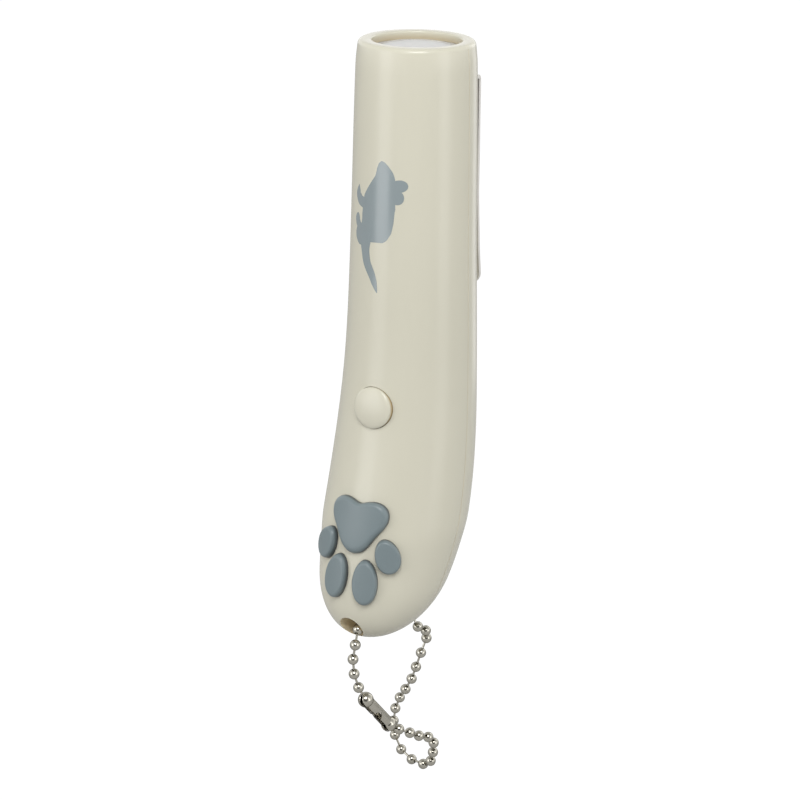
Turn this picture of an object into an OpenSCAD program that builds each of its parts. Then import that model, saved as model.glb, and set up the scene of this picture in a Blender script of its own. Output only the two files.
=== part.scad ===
// Hand-held cat laser pointer with a paw-shaped tail, a pocket clip and a ball chain

/* [Body] */
// Length of the body from the mouth rim to the tail tip
body_l = 129.5; // [124:0.5:140]
// Diameter at the mouth rim
rim_d = 24.4; // [23.6:0.1:26]
// Diameter just below the rim
neck_d = 25.4; // [24.8:0.1:27]
// Diameter at the middle of the grip
grip_d = 27.2; // [26.4:0.1:29]
// Diameter at the waist above the paw
waist_d = 28.6; // [28:0.1:30]
// Largest diameter, at the paw
paw_d = 32.2; // [31:0.1:35]
// Diameter where the round tail end begins
tail_d = 29.9; // [29:0.1:32]
// Wall thickness of both shells
wall = 2; // [1.6:0.1:2.4]
// How far the tail tip bends towards the button side
bend = 16.3; // [12:0.1:18]
// Depth below the rim at which the bend begins
bend_start = 50; // [44:1:54]
// Height of the round end of the tail
tail_round = 18.3; // [17:0.1:20]

/* [Mouth] */
// Diameter of the opening in the rim
mouth_d = 18.9; // [17:0.1:20]
// Thickness of the lip that holds the window
lip_t = 1.8; // [1.2:0.1:2.4]
// Rounding of the outer edge of the rim
rim_round = 0.9; // [0.4:0.1:1.2]
// Thickness of the window's flange
window_t = 2.3; // [1.6:0.1:2.8]
// Height of the window's dome in the opening
window_dome = 1.1; // [0.5:0.1:1.6]

/* [Laser] */
// Diameter of the laser barrel
barrel_d = 6.6; // [6.2:0.1:7.4]
// Length of the laser barrel
barrel_l = 11.5; // [10.5:0.5:13]
// Depth of the barrel's nose below the rim
barrel_depth = 9.2; // [8.8:0.1:10]
// Length of the moulded holder round the barrel
holder_l = 9; // [8:0.1:10]

/* [Battery] */
// Diameter of the rechargeable cell
cell_d = 14; // [12:0.1:14.4]
// Length of the cell without its nub
cell_l = 42; // [38:0.5:42.5]
// Depth of the rib above the cell
cell_stop = 25.5; // [25:0.5:28]

/* [Button] */
// Depth of the button's centre below the rib under the cell
button_down = 4.7; // [4.3:0.1:7]
// Diameter of the button cap
button_d = 9; // [8:0.1:9.1]
// Height of the button's dome above its edge
button_dome = 1; // [0.4:0.1:1.4]
// Travel of the button
button_travel = 0.6; // [0.3:0.1:0.7]

/* [Board] */
// Thickness of the circuit boards
board_t = 1.2; // [0.8:0.1:1.6]
// Height of the main board
board_l = 20.8; // [20:0.1:21.5]
// Gap between the board's back edge and the back shell
board_gap = 0.3; // [0.2:0.1:1]
// Depth of the charging socket's centre below the board's upper edge
socket_down = 12; // [10:0.5:14]

/* [Clip] */
// Width of the pocket clip
clip_w = 13.5; // [10:0.1:15]
// Thickness of the clip's steel strip
clip_t = 0.8; // [0.6:0.1:1]
// Space between the two leaves at the fold
clip_gap = 0.8; // [0.7:0.1:1.4]
// Depth of the fold below the rim
clip_top = 9; // [8.5:0.5:9.5]
// Length of the clip's arm from the fold to the tip
clip_l = 47.5; // [44:0.5:52]
// Length of the leaf that is screwed to the back shell
clip_foot = 14; // [13:0.5:15]
// How far the tip flares out from the line of the arm
clip_flare = 2.2; // [1:0.1:3]

/* [Paw pads] */
// Height of the pads above the body
pad_h = 1.6; // [0.8:0.1:1.8]
// Mean radius of the main pad
pad_r = 5.95; // [5:0.05:6.4]
// Length of the inner toe pads
toe_in_l = 10; // [8:0.1:10.6]
// Width of the inner toe pads
toe_in_w = 5.5; // [4.8:0.1:6]
// Length of the outer toe pads
toe_out_l = 8.1; // [7:0.1:9]
// Width of the outer toe pads
toe_out_w = 5.2; // [4.6:0.1:6]

/* [Chain] */
// Diameter of the chain's balls
ball_d = 2.4; // [2.2:0.05:2.6]
// Distance between the centres of two balls
ball_pitch = 3.8; // [3.6:0.05:4]
// Diameter of the wire links
link_d = 0.5; // [0.4:0.05:0.55]
// Diameter of the lanyard tunnel through the tail
tunnel_d = 5.6; // [5:0.1:5.8]
// Height of the tunnel's axis above the tail tip
tunnel_up = 4; // [3.8:0.1:5]

/* [Hidden] */
$fn = 48;

// Colours of the finishes
ivory = [0.83, 0.81, 0.74];
pad_grey = [0.5, 0.55, 0.57];
steel = [0.75, 0.76, 0.78];
brass = [0.78, 0.62, 0.32];
board_green = [0.1, 0.35, 0.2];
black = [0.12, 0.12, 0.13];
red = [0.7, 0.1, 0.1];
clear = [0.85, 0.9, 0.92, 0.5];

// Clearances
fit = 0.1;
loose = 0.25;
touch = 0.03;
eps = 0.01;
// Longer than any hole is deep
through = 80;

// Body profile: [depth, radius] stations from the rim to the tail
neck_depth = 5;
grip_depth = 45;
waist_depth = 66;
paw_up = 26.5;
tail_up = 13.5;
bend_power = 2.7;
tail_power = 2.28;
stations = [[0, rim_d / 2], [neck_depth, neck_d / 2], [grip_depth, grip_d / 2],
    [waist_depth, waist_d / 2], [body_l - paw_up, paw_d / 2], [body_l - tail_up, tail_d / 2],
    [body_l + tail_up, tail_d / 2]];
tail_start = body_l - tail_round;

// Slope of the profile at station i, from its two neighbours
function slope(i) = let (a = stations[max(0, i - 1)], b = stations[min(len(stations) - 1, i + 1)])
    i == len(stations) - 2 ? (b[1] - a[1]) / (b[0] - a[0]) / 2 : (b[1] - a[1]) / (b[0] - a[0]);

// Index of the station at or above depth d
function span(d) = max([for (i = [0:len(stations) - 2]) if (stations[i][0] <= d) i]);

// Smooth cubic through the stations
function profile(d) =
    let (i = span(max(0, d)), a = stations[i], b = stations[i + 1], h = b[0] - a[0], t = (d - a[0]) / h)
    a[1] * (2 * t ^ 3 - 3 * t ^ 2 + 1) + b[1] * (3 * t ^ 2 - 2 * t ^ 3)
    + h * (slope(i) * (t ^ 3 - 2 * t ^ 2 + t) + slope(i + 1) * (t ^ 3 - t ^ 2));

// Closing factor of the round tail end
function closing(d) = d <= tail_start ? 1
    : sqrt(max(0, 1 - ((d - tail_start) / tail_round) ^ tail_power));

// Radius of the body and forward shift of its centre at depth d
function body_r(d) = profile(d) * closing(d);
function shift(d) = d <= bend_start ? 0 : bend * ((d - bend_start) / (body_l - bend_start)) ^ bend_power;
function front_y(d) = -shift(d) - body_r(d);
function back_y(d) = -shift(d) + body_r(d);

// Point of the body at depth d, radius r and angle a from the front, positive to the right
function ring_point(d, r, a) = [r * sin(a), -shift(d) - r * cos(a), -d];
function body_point(d, a) = ring_point(d, body_r(d), a);
function unit(v) = v / norm(v);
function body_normal(d, a) = let (h = 0.05)
    unit(cross(body_point(d + h, a) - body_point(d - h, a), body_point(d, a + h) - body_point(d, a - h)));

// The origin is where the clip's bump meets the back of the body
bump_up = 9.5;
bump_depth = clip_top + clip_l - bump_up;
grip_y = back_y(bump_depth);
module at_grip() translate([0, -grip_y, bump_depth]) children();

// Ribs inside the shells: [depth of the top face, radius of the hole]
rib_t = 1.5;
holder_top = lip_t + window_t + fit / 2;
barrel_flange = 1.3;
barrel_step = 1;
flange_depth = holder_top + holder_l;
nub_h = 1;
tab_t = 0.2;
cell_top = cell_stop + rib_t + tab_t;
cell_end = cell_top + nub_h + cell_l;
cell_rib_end = cell_end + tab_t + rib_t;
button_depth = cell_rib_end + button_down;
board_top = cell_rib_end + fit;
board_end = board_top + board_l;
socket_depth = board_top + socket_down;
legs_hole_r = 3.9;
nub_hole_r = 4.5;
end_hole_r = 5;
board_hole_r = 8;
ribs = [[flange_depth + barrel_flange + fit, legs_hole_r], [cell_stop, nub_hole_r],
    [cell_top + nub_h + cell_l / 2, cell_d / 2 + fit], [cell_end + tab_t, end_hole_r],
    [board_end + fit / 2, board_hole_r]];

// Shell stations: [outer depth, inner depth, inner radius]
mouth_r = mouth_d / 2;
tail_wall = 3;
cavity_end = body_l - tunnel_up - tunnel_d / 2 - tail_wall;
cavity_round = 11;
cavity_start = cavity_end - cavity_round;
function inner_r(d) = profile(d) - wall;
mouth_edge = 0.4;
mouth_part = [[0, 0, mouth_r + mouth_edge],
    [rim_round * 0.1, mouth_edge * 0.3, mouth_r + mouth_edge * 0.3],
    [rim_round * 0.4, mouth_edge, mouth_r], [rim_round, lip_t, mouth_r],
    [lip_t + 0.4, lip_t, inner_r(lip_t)], [neck_depth, neck_depth, inner_r(neck_depth)]];
function rib_part(rib) = let (a = rib[0], b = a + rib_t)
    [[a - 0.8, a, inner_r(a)], [a + 0.3, a, rib[1]], [b - 0.3, b, rib[1]], [b + 0.8, b, inner_r(b)]];
function plain_part(from, to, step) = let (n = max(1, round((to - from) / step)))
    [for (i = [1:n - 1]) let (d = from + (to - from) * i / n) [d, d, inner_r(d)]];
rib_ends = [for (r = ribs) r[0] + rib_t];
gap_steps = [9, 9, 9, 9, 4];
shell_part = [for (i = [0:len(ribs) - 1]) each concat(
    plain_part(i == 0 ? neck_depth : rib_ends[i - 1], ribs[i][0], gap_steps[i]), rib_part(ribs[i]))];
tail_steps = 14;
under_rib = rib_ends[len(ribs) - 1] + 2.4;
tail_part = [for (i = [0:tail_steps]) let (s = sin(i / tail_steps * 86.5), d = under_rib
    + (body_l - under_rib) * s, e = under_rib + (cavity_end - under_rib) * s)
    [d, e, inner_r(e) * sqrt(max(0.004, 1 - max(0, (e - cavity_start) / cavity_round) ^ 2))]];
shell_stations = concat(mouth_part, shell_part, tail_part);

// Outer radius of a shell station, with the rounded edge of the rim
function edge_cut(d) = d >= rim_round ? 0 : rim_round - sqrt(rim_round ^ 2 - (rim_round - d) ^ 2);
function outer_r(d) = body_r(d) - edge_cut(d);

// Half a shell: an outer and an inner skin swept from angle a0 through half a turn
half_steps = 20;
module half_shell(a0) {
    n = len(shell_stations);
    m = half_steps + 1;
    outer = [for (s = shell_stations) for (j = [0:half_steps])
        ring_point(s[0], outer_r(s[0]), a0 + 180 * j / half_steps)];
    inner = [for (s = shell_stations) for (j = [0:half_steps])
        ring_point(s[1], s[2], a0 + 180 * j / half_steps)];
    k = n * m;
    h = half_steps;
    function quad(a, b, c, d) = [[a, b, c], [a, c, d]];
    skin = [for (i = [0:n - 2]) for (j = [0:half_steps - 1])
        each quad(i * m + j, i * m + j + 1, (i + 1) * m + j + 1, (i + 1) * m + j)];
    lining = [for (i = [0:n - 2]) for (j = [0:half_steps - 1])
        each quad(k + (i + 1) * m + j, k + (i + 1) * m + j + 1, k + i * m + j + 1, k + i * m + j)];
    rim = [for (j = [0:half_steps - 1]) each quad(j + 1, j, k + j, k + j + 1)];
    // At the top of a rib the inner corner points inwards, so the quad is split from that corner
    function at_rib(i) = shell_stations[i + 1][2] < shell_stations[i][2] - 1;
    seam = [for (i = [0:n - 2]) let (a = i * m, b = a + m, c = a + h, d = b + h) each at_rib(i)
        ? concat(quad(b, k + b, k + a, a), quad(k + c, k + d, d, c))
        : concat(quad(a, b, k + b, k + a), quad(c, k + c, k + d, d))];
    e = (n - 1) * m;
    tip = concat([for (j = [1:half_steps - 1]) [e, e + j, e + j + 1]],
        [for (j = [1:half_steps - 1]) [k + e, k + e + j + 1, k + e + j]],
        quad(k + e, e, e + half_steps, k + e + half_steps));
    polyhedron(concat(outer, inner), concat(skin, lining, rim, seam, tip), convexity = 8);
}

// The lanyard tunnel runs straight through the tail from front to back
tunnel_depth = body_l - tunnel_up;
module tunnel() translate([0, 0, -tunnel_depth]) rotate([90, 0, 0])
    cylinder(d = tunnel_d, h = through, center = true);

// Wire channels beside the cell, cut through the ribs
channel_r = 1.6;
channel_neck = 0.6;
channel_over = 2;
channel_x = cell_d / 2 + channel_r + channel_neck;
module channels() for (side = [-1, 1]) translate([side * channel_x, 0, -board_top - channel_over])
    cylinder(r = channel_r, h = board_top - flange_depth - channel_over);

// The button's axis stands square on the front of the body
tilt_span = 3;
tilt_rise = front_y(button_depth - tilt_span) - front_y(button_depth + tilt_span);
button_tilt = atan(tilt_rise / (2 * tilt_span));
module at_button() translate([0, front_y(button_depth), -button_depth]) rotate([90 - button_tilt, 0, 0])
    children();

// Depths along the button's axis, below the surface of the body
button_flange_r = button_d / 2 + 0.6;
flange_gap = 1.35;
flange_top = wall + flange_gap;
flange_t = 0.8;
stem_l = 0.5;
stem_end = flange_top + flange_t + stem_l;
plunger_out = 0.2;
switch_top = stem_end + button_travel + plunger_out;
switch_depth = 3;

// One screw behind the paw draws the two shells together
screw_down = 9.2;
screw_depth = board_end + screw_down;
screw_r = 1;
screw_head_r = 1.9;
screw_head_t = 1.4;
screw_in = 7;
boss_r = 3.2;
boss_gap = 1;
parting_y = -shift(screw_depth);
head_y = parting_y + 5;
boss_front_y = front_y(screw_depth - boss_r) + wall / 2;
boss_back_y = back_y(screw_depth + boss_r) - fit * 2.5;
module along_y(y0, y1) translate([0, y0, -screw_depth]) rotate([-90, 0, 0]) linear_extrude(y1 - y0)
    children();

module front_shell() color(ivory) at_grip() difference() {
    union() {
        half_shell(-90);
        along_y(boss_front_y, parting_y - boss_gap) circle(boss_r);
    }
    along_y(parting_y - screw_in - boss_gap, parting_y) circle(screw_r - fit);
    at_button() translate([0, 0, -flange_top]) cylinder(d = button_d + 2 * fit, h = 2 * flange_top);
    at_button() translate([0, 0, -switch_top])
        cylinder(r = button_flange_r + fit, h = switch_top - flange_top);
    tunnel();
    channels();
}

// Flat seat for the clip's foot on the back shell
seat_top = clip_top + clip_t + clip_gap / 2;
seat_y = back_y(seat_top + clip_foot) + touch;
foot_holes = [8, 12.5];
foot_screw_r = 1;
foot_head_r = 1.8;
foot_head_t = 1;
module foot_axis(h) translate([0, 0, -seat_top - h]) rotate([-90, 0, 0]) children();

// Charging socket opening
socket_w = 8.94;
socket_h = 3.2;
socket_l = 7.3;
socket_in = 0.5;
socket_face = back_y(socket_depth) - socket_in;
module stadium(w, h) {
    square([w - h, h], center = true);
    for (side = [-1, 1]) translate([side * (w - h) / 2, 0]) circle(d = h);
}
module at_socket() translate([0, socket_face, -socket_depth]) rotate([90, 90, 0]) children();

module back_shell() color(ivory) at_grip() difference() {
    union() {
        half_shell(90);
        along_y(parting_y + boss_gap, boss_back_y) circle(boss_r);
        translate([-clip_w / 2, seat_y - wall, -seat_top - clip_foot]) cube([clip_w, wall, clip_foot]);
    }
    along_y(parting_y, head_y + eps) circle(screw_r + fit);
    along_y(head_y, parting_y + through) circle(screw_head_r + loose);
    for (h = foot_holes) foot_axis(h) cylinder(r = foot_screw_r + fit, h = through);
    at_socket() translate([0, 0, -5]) linear_extrude(9)
        stadium(socket_w + 2 * loose, socket_h + 2 * loose);
    tunnel();
    channels();
}

recess = [2.2, 1.2, 0.5];
module shell_screw() color(steel) at_grip() {
    along_y(parting_y - screw_in, head_y) circle(screw_r - 1.5 * fit);
    difference() {
        along_y(head_y, head_y + screw_head_t) circle(screw_head_r);
        for (turn = [0, 90]) translate([0, head_y + screw_head_t, -screw_depth]) rotate([0, turn, 0])
            cube(recess, center = true);
    }
}

window_r = inner_r(lip_t) - fit;
dome_gap = 1.1;
dome_r = mouth_r - dome_gap;
module front_window() color(clear) at_grip() translate([0, 0, -lip_t - touch]) {
    sphere_r = (dome_r ^ 2 + window_dome ^ 2) / (2 * window_dome);
    translate([0, 0, -window_t]) cylinder(r = window_r, h = window_t);
    intersection() {
        translate([0, 0, window_dome - sphere_r]) sphere(sphere_r, $fn = 96);
        translate([0, 0, -window_t / 2]) cylinder(r = dome_r, h = window_t + window_dome);
    }
}

// Moulded cup that centres the laser barrel behind the window
holder_r = inner_r(holder_top) - fit;
cup_depth = 5.8;
cup_rim = 1;
cup_floor = 0.8;
barrel_r = barrel_d / 2;
module laser_holder() color("white") at_grip() translate([0, 0, -holder_top]) rotate_extrude()
    polygon([[barrel_r + fit / 2, -holder_l], [holder_r, -holder_l], [holder_r, 0], [holder_r - cup_rim, 0],
        [barrel_r + cup_floor, -cup_depth], [barrel_r + fit / 2, -cup_depth]]);

nose_t = 0.9;
lens_r = 2.7;
lens_t = 2;
lens_edge = 0.6;
lens_curve = 6;
beam_r = 1.5;
diode_r = 2.8;
module laser_barrel() color(brass) at_grip() translate([0, 0, -barrel_depth]) difference() {
    union() {
        translate([0, 0, -barrel_l]) cylinder(r = barrel_r, h = barrel_l);
        translate([0, 0, barrel_depth - flange_depth - barrel_flange])
            cylinder(r = barrel_r + barrel_step, h = barrel_flange);
    }
    translate([0, 0, -barrel_l - eps]) cylinder(r = diode_r + touch, h = barrel_l - nose_t + eps);
    translate([0, 0, -barrel_l]) cylinder(r = beam_r, h = barrel_l + eps);
}

lens_depth = barrel_depth + nose_t + touch;
module collimator_lens() color(clear) at_grip() translate([0, 0, -lens_depth - lens_t]) {
    cylinder(r = lens_r, h = lens_t - lens_edge);
    intersection() {
        translate([0, 0, lens_t - lens_curve]) sphere(lens_curve);
        cylinder(r = lens_r - lens_edge, h = lens_t);
    }
}

// Coil between the lens and the diode: a tube of six sides along a helix
spring_turns = 4;
spring_wire = 0.22;
spring_r = 2.15;
spring_top = lens_depth + lens_t + spring_wire + touch;
diode_in = 4.6;
diode_depth = barrel_depth + barrel_l - diode_in;
spring_end = diode_depth - spring_wire - touch;
module tube(path, r, sides) {
    n = len(path);
    rings = [for (i = [0:n - 1])
        let (t = unit(path[min(n - 1, i + 1)] - path[max(0, i - 1)]),
            u = unit(cross(t, abs(t[2]) > 0.8 ? [0, 1, 0] : [0, 0, 1])), v = cross(t, u))
        for (j = [0:sides - 1]) path[i] + r * (cos(360 * j / sides) * u + sin(360 * j / sides) * v)];
    sides_faces = [for (i = [0:n - 2]) for (j = [0:sides - 1])
        let (a = i * sides + j, b = i * sides + (j + 1) % sides)
        each [[a, a + sides, b + sides], [a, b + sides, b]]];
    first = [for (j = [1:sides - 2]) [0, j, j + 1]];
    last = [for (j = [1:sides - 2]) [(n - 1) * sides, (n - 1) * sides + j + 1, (n - 1) * sides + j]];
    polyhedron(rings, concat(sides_faces, first, last), convexity = 6);
}
turn_steps = 8;
spring_steps = turn_steps * spring_turns;
module lens_spring() color(steel) at_grip() tube([for (i = [0:spring_steps])
    [spring_r * cos(360 * i / turn_steps), spring_r * sin(360 * i / turn_steps),
        -spring_top - (spring_end - spring_top) * i / spring_steps]], spring_wire, 6);

// Diode can with three legs, pushed into the back of the barrel
leg_r = 0.22;
leg_ring = 1;
diode_flange = 1.2;
diode_can = 2.3;
can_r = 2.1;
leg_l = 3.6;
module laser_diode() color("gainsboro") at_grip() translate([0, 0, -diode_depth]) {
    translate([0, 0, -diode_can]) cylinder(r = can_r, h = diode_can);
    translate([0, 0, -diode_can - diode_flange]) cylinder(r = diode_r, h = diode_flange);
    for (turn = [0:120:240]) rotate(turn) translate([leg_ring, 0, -diode_can - diode_flange - leg_l])
        cylinder(r = leg_r, h = leg_l + eps, $fn = 24);
}

driver_depth = barrel_depth + barrel_l + touch;
driver_t = 0.8;
driver_w = 8;
driver_h = 6;
driver_chip = [1.6, 3.2, 0.6];
driver_part = [0.8, 1.6, 0.5];
module driver_board() color(board_green) at_grip() translate([0, 0, -driver_depth - driver_t]) difference() {
    union() {
        translate([-driver_w / 2, -driver_h / 2, 0]) cube([driver_w, driver_h, driver_t]);
        translate([-3.5, -driver_chip[1] / 2, -driver_chip[2]]) cube(driver_chip + [0, 0, eps]);
        translate([2.2, -driver_part[1] / 2, -driver_part[2]]) cube(driver_part + [0, 0, eps]);
    }
    for (turn = [0:120:240]) rotate(turn) translate([leg_ring, 0, -driver_t])
        cylinder(r = leg_r + fit, h = 3 * driver_t, $fn = 24);
}

// Leads run down the channel to the main board
lead_r = 0.45;
lead_sides = 8;
board_x = -socket_h / 2;
lead_end = board_top + 1;
function lead_down(x0, z0, y) = [[x0, y, -z0], [x0 + 1, y, -z0 - 0.4],
    [channel_x - 1, y, -cell_stop + 0.6], [channel_x, y, -cell_stop - 0.8],
    [channel_x, y, -cell_end], [channel_x, y, -lead_end + 0.4]];
driver_end = driver_depth + driver_t + lead_r + touch;
function to_board(y) = [[channel_x - 1.2, y, -lead_end - 0.8], [board_x + 2, y, -lead_end - 1],
    [board_x + touch, y, -lead_end - 1]];
lead_y = 0.6;
function laser_lead(y) = concat(lead_down(driver_w / 2 - 0.5, driver_end, y), to_board(y));
module laser_leads() at_grip() {
    color(red) tube(laser_lead(-lead_y), lead_r, lead_sides);
    color(black) tube(laser_lead(lead_y), lead_r, lead_sides);
}

nub_d = 5;
module battery_cell() color("steelblue") at_grip() translate([0, 0, -cell_end]) {
    cylinder(d = cell_d, h = cell_l);
    cylinder(d = nub_d, h = cell_l + nub_h);
}

tab_w = 4;
tab_l = 8;
module battery_tabs() color(steel) at_grip() {
    translate([-tab_l + 1, -tab_w / 2, -cell_top]) cube([tab_l, tab_w, tab_t - touch]);
    translate([-tab_l + 1, -tab_w / 2, -cell_end - tab_t + touch]) cube([tab_l, tab_w, tab_t - touch]);
}

module battery_leads() at_grip() {
    pad_x = board_x - board_t - touch;
    // The black lead passes beside the red one on its way to the board
    aside = 3 * lead_r;
    color(red) tube([[-tab_l + 3, 0, -cell_top - nub_h / 2], [-channel_x + 0.8, 0, -cell_top - nub_h / 2],
        [-channel_x, 0, -cell_top - 2], [-channel_x, 0, -lead_end + 0.5],
        [-channel_x + 1, 0, -lead_end - 0.8], [pad_x, 0, -lead_end - 0.8]], lead_r, lead_sides);
    color(black) tube([[-tab_w, -aside, -cell_end - tab_t], [-tab_w, -aside, -lead_end - 2.4],
        [-tab_w + 0.5, -aside, -lead_end - 3.2], [pad_x, -aside, -lead_end - 3.2]], lead_r, lead_sides);
}

// The main board stands in the plane of symmetry: switch at its front edge, socket at its back edge
switch_over = 0.3;
board_front = front_y(button_depth) + (switch_top + switch_over) * cos(button_tilt);
board_back = back_y(board_end) - wall - board_gap;
board_w = board_back - board_front;
module main_board() color(board_green) at_grip()
    translate([board_x - board_t, board_front, -board_end]) cube([board_t, board_w, board_l]);

module chip(y, d, w, h, t) translate([board_x, y - w / 2, -d - h / 2]) cube([t, w, h]);
module board_parts() color(black) at_grip() {
    chip(board_front + board_w / 2, board_top + board_l - 5, 5, 4, 1.5);
    chip(board_front + 5, board_top + board_l - 4, 2.4, 1.6, 1);
    chip(board_front + 5, board_top + board_l - 7, 1.6, 0.9, 0.5);
    chip(board_front + 7.6, board_top + board_l - 8, 1.6, 0.9, 0.5);
    chip(board_front + board_w - 3, board_top + 3.5, 3, 1.6, 0.8);
}

switch_w = 7;
switch_h = 3.5;
plunger_r = 1.2;
plunger_in = 0.8;
module switch_body() color(black) at_grip() at_button() difference() {
    translate([board_x, -switch_w / 2, -switch_top - switch_depth]) cube([switch_h, switch_w, switch_depth]);
    translate([0, 0, -switch_top - plunger_in - button_travel - fit])
        cylinder(r = plunger_r + fit, h = switch_depth);
}
module switch_plunger() color("white") at_grip() at_button() translate([0, 0, -switch_top - plunger_in])
    cylinder(r = plunger_r, h = switch_top + plunger_in - stem_end);

// Button cap: a low dome, a guide skirt, a flange behind the wall and a stem on the switch
button_r = button_d / 2;
stem_r = 1.6;
cap_edge = 0.3;
dome_steps = 10;
cap_top = cap_edge + button_dome;
function dome(i, n) = [button_r * cos(90 * i / n), cap_edge + button_dome * sin(90 * i / n)];
module button_cap() color(ivory) at_grip() at_button() rotate_extrude() polygon(concat(
    [[0, -stem_end], [stem_r, -stem_end], [stem_r, -flange_top - flange_t],
        [button_flange_r, -flange_top - flange_t],
        [button_flange_r, -flange_top], [button_r, -flange_top]],
    [for (i = [0:dome_steps - 1]) dome(i, dome_steps)], [[0, cap_top]]));

shell_t = 0.3;
module socket_shell() color(steel) at_grip() at_socket() difference() {
    linear_extrude(socket_l) stadium(socket_w, socket_h);
    translate([0, 0, -eps]) linear_extrude(socket_l - shell_t)
        stadium(socket_w - 2 * shell_t, socket_h - 2 * shell_t);
}
tongue_w = 6.7;
tongue_t = 0.7;
tongue_in = 1.2;
tongue_foot = 1.6;
module socket_tongue() color(black) at_grip() at_socket() {
    translate([-tongue_w / 2, -tongue_t / 2, tongue_in])
        cube([tongue_w, tongue_t, socket_l - 2 * tongue_in]);
    translate([0, 0, socket_l - tongue_foot]) linear_extrude(tongue_foot - shell_t - touch)
        stadium(socket_w - 2 * shell_t - fit, socket_h - 2 * shell_t - fit);
}

// The clip is one folded strip: the foot and the fold, then the springy arm
fold_r = clip_gap / 2 + clip_t;
fold_y = seat_y + fold_r;
arm_y = seat_y + clip_t + clip_gap;
arm_bend = 25;
arm_lean = 0.5;
corner_r = 3;
module strip(w) rotate([90, 0, 90]) linear_extrude(w, center = true) children();
module clip_root() color(steel) at_grip() difference() {
    union() {
        translate([-clip_w / 2, seat_y, -seat_top - clip_foot]) cube([clip_w, clip_t, clip_foot]);
        intersection() {
            translate([0, fold_y, -seat_top]) rotate([0, 90, 0]) difference() {
                cylinder(r = fold_r, h = clip_w, center = true);
                cylinder(r = clip_gap / 2, h = clip_w + 1, center = true);
            }
            translate([-clip_w, seat_y - 1, -seat_top]) cube([2 * clip_w, 2 * fold_r + 2, fold_r + 1]);
        }
    }
    for (h = foot_holes) foot_axis(h) cylinder(r = foot_screw_r - fit, h = through);
}

// Side outline of the arm: straight, then leaning out to the flared tip
arm_len = clip_l - (seat_top - clip_top);
hinge_gap = 0.04;
flare_up = 9;
arm_line = [[arm_y, hinge_gap], [arm_y + arm_lean, arm_bend],
    [arm_y + arm_lean + clip_flare * 0.45, arm_len - flare_up], [arm_y + arm_lean + clip_flare, arm_len]];
arm_outline = concat([for (p = arm_line) [p[0], -p[1]]],
    [for (i = [len(arm_line) - 1:-1:0]) [arm_line[i][0] + clip_t, -arm_line[i][1]]]);
bump_r = 3;
bump_y = grip_y + touch + bump_r;
bump_base = arm_y + arm_lean + clip_flare * 0.38;
module arm_face() {
    translate([-clip_w / 2, -arm_len + corner_r]) square([clip_w, arm_len]);
    translate([-clip_w / 2 + corner_r, -arm_len]) square([clip_w - 2 * corner_r, arm_len]);
    for (side = [-1, 1]) translate([side * (clip_w / 2 - corner_r), -arm_len + corner_r]) circle(corner_r);
}
module clip_arm() color(steel) at_grip() difference() {
    union() {
        translate([0, 0, -seat_top]) intersection() {
            strip(clip_w) polygon(arm_outline);
            rotate([90, 0, 0]) linear_extrude(through, center = true) arm_face();
        }
        intersection() {
            translate([0, bump_y, -bump_depth]) sphere(bump_r);
            translate([-clip_w / 2, 0, -bump_depth - bump_r])
                cube([clip_w, bump_base + clip_t / 2, 2 * bump_r]);
        }
    }
    translate([0, bump_y + clip_t, -bump_depth]) sphere(bump_r - clip_t / 3);
}

module clip_screws() color(steel) at_grip() for (h = foot_holes) foot_axis(h) {
    inside = back_y(seat_top + h) - wall - loose;
    translate([0, 0, inside]) cylinder(r = foot_screw_r - 1.5 * fit, h = seat_y + clip_t - inside);
    translate([0, 0, inside - foot_head_t]) cylinder(r = foot_head_r, h = foot_head_t + eps);
}

// Pads lie on the paw: outline radius times t, rounded down to the body at the edge
pad_steps = 28;
pad_rings = [0.4, 0.7, 0.8, 0.9, 0.96, 1];
edge_start = 0.8;
pad_lift = 0.06;
function pad_height(t) = pad_lift + pad_h * (t <= edge_start ? 1
    : sqrt(max(0.02, 1 - ((t - edge_start) / (1 - edge_start)) ^ 2)));
module pad(d0, x0, outline) {
    a0 = asin(x0 / body_r(d0));
    function on_body(t, i, h) = let (p = outline(360 * i / pad_steps) * t, d = d0 - p[1],
        a = a0 + p[0] / body_r(d) * 180 / PI) body_point(d, a) + h * body_normal(d, a);
    n = len(pad_rings);
    top = [for (t = pad_rings) for (i = [0:pad_steps - 1]) on_body(t, i, pad_height(t))];
    base = [for (t = pad_rings) for (i = [0:pad_steps - 1]) on_body(t, i, pad_lift)];
    k = n * pad_steps;
    centres = [on_body(0, 0, pad_height(0)), on_body(0, 0, pad_lift)];
    function next(i) = (i + 1) % pad_steps;
    walls = [for (r = [0:n - 2]) for (i = [0:pad_steps - 1])
        let (a = r * pad_steps + i, b = r * pad_steps + next(i), c = a + pad_steps, e = b + pad_steps)
        each [[a, c, e], [a, e, b], [k + a, k + e, k + c], [k + a, k + b, k + e]]];
    hubs = [for (i = [0:pad_steps - 1]) each [[2 * k, i, next(i)], [2 * k + 1, k + next(i), k + i]]];
    side = [for (i = [0:pad_steps - 1])
        let (a = (n - 1) * pad_steps + i, b = (n - 1) * pad_steps + next(i))
        each [[a, k + a, k + b], [a, k + b, b]]];
    polyhedron(concat(top, base, centres), concat(walls, hubs, side), convexity = 4);
}

// Main pad: three lobes, two above and one below
lobe = [-0.174, -0.113, -0.163, 0.025];
pad_up = 29;
pad_depth = body_l - pad_up;
main_outline = function (a) [sin(a), cos(a)] * pad_r
    * (1 + lobe[0] * cos(a) + lobe[1] * cos(2 * a) + lobe[2] * cos(3 * a) + lobe[3] * cos(4 * a));
module paw_pad() color(pad_grey) at_grip() pad(pad_depth, 0, main_outline);

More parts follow.
